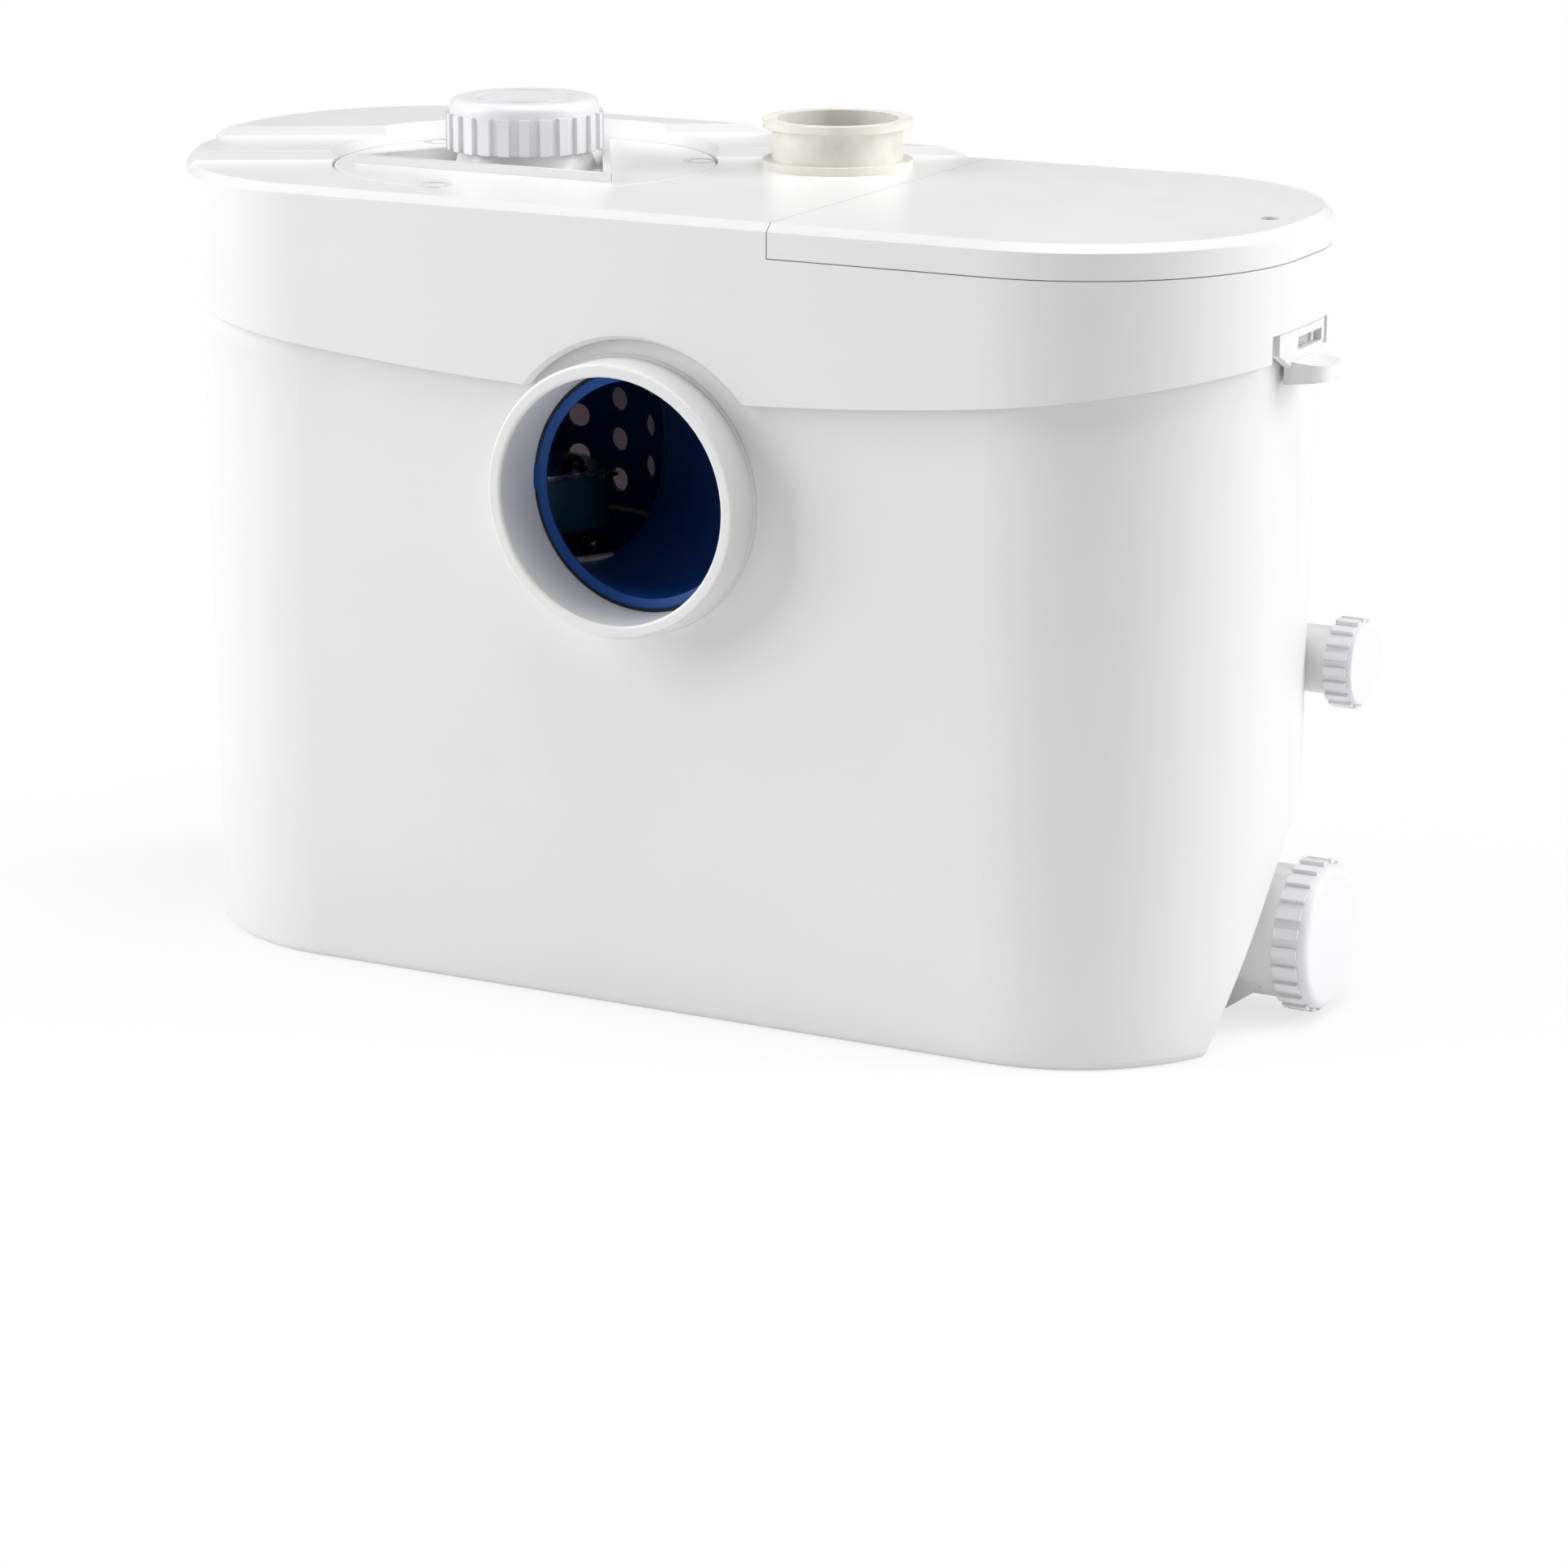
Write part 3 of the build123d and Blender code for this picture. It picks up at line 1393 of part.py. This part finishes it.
# Motor capacitor and terminal block on the tub floor
with BuildPart() as capacitor:
    capacitor_z = tub_plane_z + capacitor_radius + seat_gap
    with BuildSketch(facing_front(capacitor_length / 2)):
        with Locations((capacitor_x, capacitor_z)):
            Circle(capacitor_radius)
    extrude(amount=capacitor_length)
    chamfer(capacitor.edges().filter_by(GeomType.CIRCLE), length=overrun)
    with BuildSketch(facing_front(-capacitor_length / 2)):
        with Locations((capacitor_x, capacitor_z)):
            with GridLocations(capacitor_radius, 0, 2, 1):
                Rectangle(overrun, capacitor_cap)
    extrude(amount=capacitor_cap)
save(capacitor.part, "capacitor")

with BuildPart() as terminal_block:
    with BuildSketch(level(tub_plane_z)):
        with Locations((terminal_x, 0)):
            Rectangle(terminal_width, terminal_length)
    extrude(amount=terminal_height)
    with BuildSketch(level(tub_plane_z + terminal_height)):
        with Locations((terminal_x, 0)):
            with GridLocations(0, terminal_length / terminal_ways, 1, terminal_ways):
                Circle(terminal_screw)
    extrude(amount=-terminal_height / 2, mode=Mode.SUBTRACT)
save(terminal_block.part, "terminal_block")
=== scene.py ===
import json
import math

import bmesh
import bpy
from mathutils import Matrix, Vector


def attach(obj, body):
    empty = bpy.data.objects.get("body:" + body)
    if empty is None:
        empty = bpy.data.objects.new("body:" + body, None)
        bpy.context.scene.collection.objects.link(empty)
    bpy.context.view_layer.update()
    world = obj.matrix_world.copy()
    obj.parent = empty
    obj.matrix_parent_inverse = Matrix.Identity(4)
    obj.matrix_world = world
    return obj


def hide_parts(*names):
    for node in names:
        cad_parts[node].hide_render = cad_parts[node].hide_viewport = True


# Macerator toilet pump: finishes, small pieces, floor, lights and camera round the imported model.
# Metres, the same frame as the model: origin under the tank, +X to the ported end, -Y front, +Z up.

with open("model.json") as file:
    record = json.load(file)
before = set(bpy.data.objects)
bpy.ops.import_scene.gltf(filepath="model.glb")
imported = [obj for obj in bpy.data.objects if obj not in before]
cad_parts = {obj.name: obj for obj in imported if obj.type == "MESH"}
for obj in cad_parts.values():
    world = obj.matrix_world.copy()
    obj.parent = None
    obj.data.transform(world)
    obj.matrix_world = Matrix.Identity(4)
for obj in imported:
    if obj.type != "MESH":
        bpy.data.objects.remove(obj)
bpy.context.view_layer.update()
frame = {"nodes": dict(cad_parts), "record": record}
scene = bpy.context.scene
MM = 0.001

# Tones of the finishes: how much lighter rubber blooms, and how dark the lines of metal are
bloom_gain = 1.12
bloom_lift = 0.004
line_tint = 0.82

# Soil inlet: the plane where the blue chute meets the white tube
inlet_centre = (0, -78.15 * MM, 194 * MM)
ring_turns = 144
tab_steps = 16

# Mouth ring of the chute, as radii and depths in millimetres, with a raised bead outside
ring_inner = 40.0
ring_outer = 43.75
ring_back = 0.75
ring_face = -0.3
ring_round = 0.25
bead_inner = 42.45
bead_face = -0.75
bead_slope = 0.15
bead_chamfer = 0.2

# Dark lip round the mouth ring, black as painted shade of the gap there
lip_inner = 43.85
lip_outer = 44.9
lip_back = 0.4
lip_face = -0.45
lip_inner_cut = (0.25, 0.2)
lip_outer_cut = (0.2, 0.25)

# Tab at the left of the mouth ring, with its two halves as angles in degrees
tab_inner = 42.4
tab_outer = 44.85
tab_back = 0.3
tab_face = -0.95
tab_inner_cut = (0.1, 0.1)
tab_outer_cut = (0.15, 0.15)
tab_halves = {"ring_tab_upper": (172.5, 178.3), "ring_tab_lower": (179.0, 184.8)}

# Dome nuts of the blade, in millimetres and degrees, and their places in metres
nut_turns = 48
washer_radius = 5.6
washer_top = 0.8
washer_side = 0.6
washer_chamfer = 0.3
hexagon_flat = 4.4
hexagon_top = 2.3
dome_foot = 2.7
dome_shoulder = 4.35
dome_radius = 4.2
dome_rise = 2.9
dome_degrees = range(8, 88, 8)
shaft_x = -0.093
nut_reach = 0.020
nut_base = 0.1806
nut_turn = math.radians(-4)

# Floor and studio
floor_reach = 6.0
floor_colour = (0.85, 0.85, 0.85)
shadow_near = 0.24
shadow_far = 0.60
shadow_white = 0.72
fill_strength = 0.19
light_aim = Vector((0, 0, 0.16))
side_distance = 2.2
side_size = (1.2, 1.6)
top_distance = 2.4
top_size = (1.8, 1.8)
glow_place = (-0.180, 0.030, 0.110)
glow_colour = (1.0, 0.72, 0.74)
glow_power = 0.03
glow_radius = 0.012

# Camera at the photograph's place
camera_place = Vector((0.8367, -1.5783, 0.5575))
camera_target = Vector((-0.004476, 0.041176, 0.054339))
camera_lens = 111.6
camera_sensor = 36.0


def node_material(name, colour, roughness, specular=0.5):
    """Principled material with its plain numbers on the shader's own sockets."""
    mat = bpy.data.materials.new(name)
    mat.use_nodes = True
    shader = mat.node_tree.nodes["Principled BSDF"]
    shader.inputs["Base Color"].default_value = (*colour, 1)
    shader.inputs["Roughness"].default_value = roughness
    shader.inputs["Specular IOR Level"].default_value = specular
    return mat, mat.node_tree, shader


def object_noise(tree, scale, detail=4.0, roughness=0.5, stretch=None):
    """Noise in object space, in waves per metre."""
    coords = tree.nodes.new("ShaderNodeTexCoord")
    source = coords.outputs["Object"]
    if stretch is not None:
        mapping = tree.nodes.new("ShaderNodeMapping")
        mapping.inputs["Scale"].default_value = stretch
        tree.links.new(source, mapping.inputs["Vector"])
        source = mapping.outputs["Vector"]
    noise = tree.nodes.new("ShaderNodeTexNoise")
    noise.inputs["Scale"].default_value = scale
    noise.inputs["Detail"].default_value = detail
    noise.inputs["Roughness"].default_value = roughness
    tree.links.new(source, noise.inputs["Vector"])
    return noise.outputs["Fac"]


def ramp(tree, factor, low, high, start=0.35, end=0.65):
    """Two colours mixed along a factor."""
    node = tree.nodes.new("ShaderNodeValToRGB")
    node.color_ramp.elements[0].position = start
    node.color_ramp.elements[1].position = end
    node.color_ramp.elements[0].color = (*low, 1)
    node.color_ramp.elements[1].color = (*high, 1)
    tree.links.new(factor, node.inputs["Fac"])
    return node.outputs["Color"]


def spread(tree, factor, low, high):
    """A number that runs from low to high along a factor."""
    node = tree.nodes.new("ShaderNodeMapRange")
    node.inputs["To Min"].default_value = low
    node.inputs["To Max"].default_value = high
    tree.links.new(factor, node.inputs["Value"])
    return node.outputs["Result"]


def bump(tree, shader, height, distance, strength=1.0, rounding=0.0):
    """Fine relief, over edges rounded by a small radius."""
    node = tree.nodes.new("ShaderNodeBump")
    node.inputs["Distance"].default_value = distance
    node.inputs["Strength"].default_value = strength
    tree.links.new(height, node.inputs["Height"])
    if rounding:
        bevel = tree.nodes.new("ShaderNodeBevel")
        bevel.samples = 4
        bevel.inputs["Radius"].default_value = rounding
        tree.links.new(bevel.outputs["Normal"], node.inputs["Normal"])
    tree.links.new(node.outputs["Normal"], shader.inputs["Normal"])


def moulded(name, colour, roughness, specular=0.5, tint=0.985, rounding=0.0006):
    """Moulded plastic: a faint grain, a slow change of tone and slightly uneven gloss."""
    mat, tree, shader = node_material(name, colour, roughness, specular)
    tone = object_noise(tree, scale=14.0, detail=3.0)
    dark = tuple(c * tint for c in colour)
    tree.links.new(ramp(tree, tone, dark, colour), shader.inputs["Base Color"])
    uneven = object_noise(tree, scale=60.0, detail=4.0)
    gloss = spread(tree, uneven, low=roughness - 0.04, high=roughness + 0.05)
    tree.links.new(gloss, shader.inputs["Roughness"])
    grain = object_noise(tree, scale=2600.0, detail=2.0)
    bump(tree, shader, grain, distance=0.00003, strength=0.5, rounding=rounding)
    return mat


def rubber(name, colour, roughness, rounding=0.0004):
    """Soft rubber with a dusty bloom."""
    mat, tree, shader = node_material(name, colour, roughness, specular=0.35)
    bloom = object_noise(tree, scale=90.0, detail=6.0, roughness=0.6)
    light = tuple(min(1.0, c * bloom_gain + bloom_lift) for c in colour)
    tree.links.new(ramp(tree, bloom, colour, light), shader.inputs["Base Color"])
    grain = object_noise(tree, scale=1800.0, detail=3.0)
    bump(tree, shader, grain, distance=0.00004, strength=0.6, rounding=rounding)
    return mat


def brushed(name, colour, roughness, stretch):
    """Metal with fine lines along one direction."""
    mat, tree, shader = node_material(name, colour, roughness)
    shader.inputs["Metallic"].default_value = 1.0
    lines = object_noise(tree, scale=900.0, detail=3.0, roughness=0.6, stretch=stretch)
    gloss = spread(tree, lines, low=roughness * 0.75, high=roughness * 1.3)
    tree.links.new(gloss, shader.inputs["Roughness"])
    dark = tuple(c * line_tint for c in colour)
    tree.links.new(ramp(tree, lines, dark, colour), shader.inputs["Base Color"])
    bump(tree, shader, lines, distance=0.00002, strength=0.4, rounding=0.0003)
    return mat


def seen_directly(tree):
    """One where a surface is seen by the camera, in a mirror or through a clear piece."""
    path = tree.nodes.new("ShaderNodeLightPath")
    first = tree.nodes.new("ShaderNodeMath")
    first.operation = "MAXIMUM"
    tree.links.new(path.outputs["Is Camera Ray"], first.inputs[0])
    tree.links.new(path.outputs["Is Glossy Ray"], first.inputs[1])
    second = tree.nodes.new("ShaderNodeMath")
    second.operation = "MAXIMUM"
    tree.links.new(first.outputs["Value"], second.inputs[0])
    tree.links.new(path.outputs["Is Transmission Ray"], second.inputs[1])
    return second.outputs["Value"]


def sweep_material(name, colour, near, far, near_white):
    """Floor that holds the shadow near the object and fades to plain white further out."""
    mat, tree, shader = node_material(name, colour, roughness=0.9, specular=0.1)
    coords = tree.nodes.new("ShaderNodeTexCoord")
    length = tree.nodes.new("ShaderNodeVectorMath")
    length.operation = "LENGTH"
    tree.links.new(coords.outputs["Object"], length.inputs[0])
    fade = tree.nodes.new("ShaderNodeMapRange")
    fade.interpolation_type = "SMOOTHSTEP"
    fade.inputs["From Min"].default_value = near
    fade.inputs["From Max"].default_value = far
    fade.inputs["To Min"].default_value = near_white
    fade.inputs["To Max"].default_value = 1.0
    tree.links.new(length.outputs["Value"], fade.inputs["Value"])
    amount = tree.nodes.new("ShaderNodeMath")
    amount.operation = "MULTIPLY"
    tree.links.new(fade.outputs["Result"], amount.inputs[0])
    tree.links.new(seen_directly(tree), amount.inputs[1])
    white = tree.nodes.new("ShaderNodeEmission")
    white.inputs["Color"].default_value = (1, 1, 1, 1)
    mix = tree.nodes.new("ShaderNodeMixShader")
    tree.links.new(amount.outputs["Value"], mix.inputs["Fac"])
    tree.links.new(shader.outputs["BSDF"], mix.inputs[1])
    tree.links.new(white.outputs["Emission"], mix.inputs[2])
    tree.links.new(mix.outputs["Shader"], tree.nodes["Material Output"].inputs["Surface"])
    return mat


def link_object(name, data):
    """New object of the scene that holds a mesh, a lamp or a camera."""
    obj = bpy.data.objects.new(name, data)
    scene.collection.objects.link(obj)
    return obj


def link_shape(name, shape, material, flat_faces=0):
    """Piece made from a bmesh, smooth but for a number of faces that it starts with."""
    bmesh.ops.recalc_face_normals(shape, faces=shape.faces)
    mesh = bpy.data.meshes.new(name)
    shape.to_mesh(mesh)
    shape.free()
    for face in mesh.polygons:
        face.use_smooth = face.index >= flat_faces
    mesh.materials.append(material)
    return link_object(name, mesh)


def turn_towards(obj, direction):
    """Point a lamp or camera along a direction, with its top up."""
    obj.rotation_mode = "QUATERNION"
    obj.rotation_quaternion = direction.to_track_quat("-Z", "Y")


def chamfered(inner, outer, back, face, inner_cut, outer_cut):
    """Profile of a flat-faced ring with both front edges cut, each by a width and a depth."""
    return [
        (inner, back),
        (inner, face + inner_cut[1]),
        (inner + inner_cut[0], face),
        (outer - outer_cut[0], face),
        (outer, face + outer_cut[1]),
        (outer, back),
    ]


def sweep_round_inlet(shape, profile, angles):
    """Loops of points of a (radius, depth) profile at each angle round the soil inlet."""
    return [
        [
            shape.verts.new((
                inlet_centre[0] + r * math.cos(a) * MM,
                inlet_centre[1] + depth * MM,
                inlet_centre[2] + r * math.sin(a) * MM,
            ))
            for r, depth in profile
        ]
        for a in angles
    ]


def skin(shape, loops, following):
    """Faces between each closed loop of points and the one that follows it."""
    count = len(loops[0])
    for one, two in zip(loops, following):
        for i in range(count):
            j = (i + 1) % count
            shape.faces.new((one[i], one[j], two[j], two[i]))


def turned_ring(name, profile, material):
    """Whole ring round the axis of the soil inlet."""
    shape = bmesh.new()
    angles = [2 * math.pi * k / ring_turns for k in range(ring_turns)]
    loops = sweep_round_inlet(shape, profile, angles)
    skin(shape, loops, loops[1:] + loops[:1])
    return link_shape(name, shape, material)


def ring_tab(name, low, high, profile, material):
    """Part of a ring between two angles, closed at both ends."""
    shape = bmesh.new()
    angles = [math.radians(low + (high - low) * k / tab_steps) for k in range(tab_steps + 1)]
    loops = sweep_round_inlet(shape, profile, angles)
    skin(shape, loops, loops[1:])
    shape.faces.new(loops[0])
    shape.faces.new(loops[-1])
    return link_shape(name, shape, material, len(shape.faces))


def dome_nut(name, centre, material):
    """Hexagon with a dome on a washer, all in one turned mesh whose middle rows are six-sided."""
    foot = [
        (washer_radius, 0.0, False),
        (washer_radius, washer_side, False),
        (washer_radius - washer_chamfer, washer_top, False),
        (hexagon_flat, washer_top, True),
        (hexagon_flat, hexagon_top, True),
        (dome_shoulder, dome_foot, False),
    ]
    dome = []
    for degrees in dome_degrees:
        t = math.radians(degrees)
        dome.append((dome_radius * math.cos(t), dome_foot + dome_rise * math.sin(t), False))
    shape = bmesh.new()
    loops = []
    for radius, height, hexagon in foot + dome:
        loop = []
        for k in range(nut_turns):
            a = 2 * math.pi * k / nut_turns
            reach = radius
            if hexagon:
                reach = radius / math.cos((a % (math.pi / 3)) - math.pi / 6)
            loop.append(shape.verts.new((
                centre[0] + reach * math.cos(a + nut_turn) * MM,
                centre[1] + reach * math.sin(a + nut_turn) * MM,
                centre[2] + height * MM,
            )))
        loops.append(loop)
    skin(shape, loops, loops[1:])
    shape.faces.new(loops[0])
    shape.faces.new(loops[-1])
    return link_shape(name, shape, material, (len(foot) - 1) * nut_turns)


def softbox(name, azimuth, elevation, distance, size, power):
    """Area light that looks at the object, its azimuth counted from the front towards +X."""
    a = math.radians(azimuth)
    e = math.radians(elevation)
    back = Vector((math.sin(a) * math.cos(e), -math.cos(a) * math.cos(e), math.sin(e)))
    lamp = bpy.data.lights.new(name, "AREA")
    lamp.shape = "RECTANGLE"
    lamp.size, lamp.size_y = size
    lamp.energy = power
    obj = link_object(name, lamp)
    obj.location = light_aim + back * distance
    turn_towards(obj, -back)


def studio_world(name, fill):
    """World that fills with a little light and shows plain white to the camera."""
    world = bpy.data.worlds.new(name)
    world.use_nodes = True
    tree = world.node_tree
    background = tree.nodes["Background"]
    background.inputs["Color"].default_value = (1, 1, 1, 1)
    background.inputs["Strength"].default_value = fill
    shown = tree.nodes.new("ShaderNodeBackground")
    shown.inputs["Color"].default_value = (1, 1, 1, 1)
    shown.inputs["Strength"].default_value = 1.0
    path = tree.nodes.new("ShaderNodeLightPath")
    mix = tree.nodes.new("ShaderNodeMixShader")
    tree.links.new(path.outputs["Is Camera Ray"], mix.inputs["Fac"])
    tree.links.new(background.outputs["Background"], mix.inputs[1])
    tree.links.new(shown.outputs["Background"], mix.inputs[2])
    tree.links.new(mix.outputs["Shader"], tree.nodes["World Output"].inputs["Surface"])
    return world


# One finish for each material slot of the model, and two of the scene's own
finishes = {
    "tank_plastic": moulded("tank_white", (0.82, 0.82, 0.825), 0.32),
    "lid_plastic": moulded("lid_white", (0.83, 0.83, 0.835), 0.30),
    "cap_plastic": moulded("cap_white", (0.82, 0.82, 0.835), 0.34),
    "cream_rubber": rubber("collar_cream", (0.79, 0.775, 0.72), 0.42),
    "black_rubber": rubber("seal_black", (0.018, 0.018, 0.02), 0.6),
    "blue_plastic": moulded("basket_blue", (0.007, 0.062, 0.28), 0.30, tint=0.85, rounding=0.0),
    "brown_rubber": rubber("band_bronze", (0.80, 0.66, 0.52), 0.4, 0.0),
    "teal_plastic": moulded("cutter_teal", (0.025, 0.12, 0.16), 0.3, tint=0.8),
    "blade_steel": brushed("blade_steel", (0.62, 0.63, 0.65), 0.28, (1, 0.05, 1)),
    "nut_steel": brushed("nut_steel", (0.55, 0.55, 0.56), 0.25, (1, 1, 0.2)),
    "shaft_steel": brushed("shaft_steel", (0.5, 0.5, 0.51), 0.3, (1, 1, 0.05)),
    "motor_metal": brushed("motor_metal", (0.6, 0.6, 0.61), 0.5, (0.3, 0.3, 1)),
    "lamination_steel": brushed("laminations", (0.25, 0.24, 0.23), 0.5, (0.02, 0.02, 1)),
    "pump_plastic": moulded("pump_black", (0.03, 0.03, 0.032), 0.45, tint=0.8),
    "grey_plastic": moulded("inner_grey", (0.30, 0.31, 0.32), 0.45, tint=0.9),
    "white_inner_plastic": moulded("inner_white", (0.7, 0.7, 0.67), 0.4, tint=0.95),
}
dark_nut = brushed("dark_nut", (0.10, 0.09, 0.09), 0.2, (1, 1, 0.2))
ring_blue = moulded("ring_blue", (0.006, 0.07, 0.30), 0.5, 0.25, tint=0.9, rounding=0.0)
slot_of = {row["node"]: row["material_slot"] for row in frame["record"]["subparts"]}
for name, node in frame["nodes"].items():
    node.data.materials.clear()
    node.data.materials.append(dark_nut if name == "cutter_nuts" else finishes[slot_of[name]])

# Blue mouth ring of the chute: the solid chute has it cut away where the elbow turns to the left
ring_profile = [
    (ring_inner, ring_back),
    (ring_inner, ring_face + ring_round),
    (ring_inner + ring_round, ring_face),
    (bead_inner - bead_slope, ring_face),
    (bead_inner, bead_face),
    (ring_outer - bead_chamfer, bead_face),
    (ring_outer, bead_face + ring_round),
    (ring_outer, ring_back),
]
mouth_ring = turned_ring("mouth_ring", ring_profile, ring_blue)
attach(mouth_ring, "tank")

# Black lip between the mouth ring and the inlet tube: painted shade of the gap between them
gap_shade_profile = chamfered(lip_inner, lip_outer, lip_back, lip_face, lip_inner_cut, lip_outer_cut)
# Black finish on this ring is painted shade of the gap, not a rubber seal
gap_shade_lip = turned_ring("gap_shade_lip", gap_shade_profile, finishes["black_rubber"])
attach(gap_shade_lip, "tank")

# Tab of the mouth ring over the dark lip, split by a fine joint
tab_profile = chamfered(tab_inner, tab_outer, tab_back, tab_face, tab_inner_cut, tab_outer_cut)
for name, (low, high) in tab_halves.items():
    tab = ring_tab(name, low, high, tab_profile, ring_blue)
    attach(tab, "tank")

# Low dome nuts of the blade, each on its washer
for name, side in (("blade_nut_right", 1), ("blade_nut_left", -1)):
    place = (
        shaft_x + side * nut_reach * math.cos(nut_turn),
        side * nut_reach * math.sin(nut_turn),
        nut_base,
    )
    nut = dome_nut(name, place, dark_nut)
    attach(nut, "rotor")
    if side == 1:
        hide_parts("cutter_nuts")

# Floor, world and lamps
floor_mesh = bpy.data.meshes.new("floor")
corners = [(-1, -1), (1, -1), (1, 1), (-1, 1)]
floor_mesh.from_pydata(
    [(x * floor_reach, y * floor_reach, 0) for x, y in corners], [], [(0, 1, 2, 3)]
)
floor_mesh.materials.append(
    sweep_material("floor_white", floor_colour, shadow_near, shadow_far, shadow_white)
)
floor = link_object("floor", floor_mesh)

scene.world = studio_world("studio", fill_strength)
softbox("left_box", azimuth=-59, elevation=22, distance=side_distance, size=side_size, power=33)
softbox("right_box", azimuth=116, elevation=24, distance=side_distance, size=side_size, power=32)
softbox("top_box", azimuth=60, elevation=80, distance=top_distance, size=top_size, power=41.5)

# A dim warm lamp stands in for the daylight that glows through the walls into the tank
glow = bpy.data.lights.new("inner_glow", "POINT")
glow.energy = glow_power
glow.color = glow_colour
glow.shadow_soft_size = glow_radius
glow_object = link_object("inner_glow", glow)
glow_object.location = glow_place
glow_object.visible_camera = False
glow_object.visible_glossy = False

camera_data = bpy.data.cameras.new("camera")
camera_data.sensor_width = camera_sensor
camera_data.lens = camera_lens
camera = link_object("camera", camera_data)
camera.location = camera_place
turn_towards(camera, camera_target - camera_place)
scene.camera = camera
scene.view_settings.view_transform = "Standard"
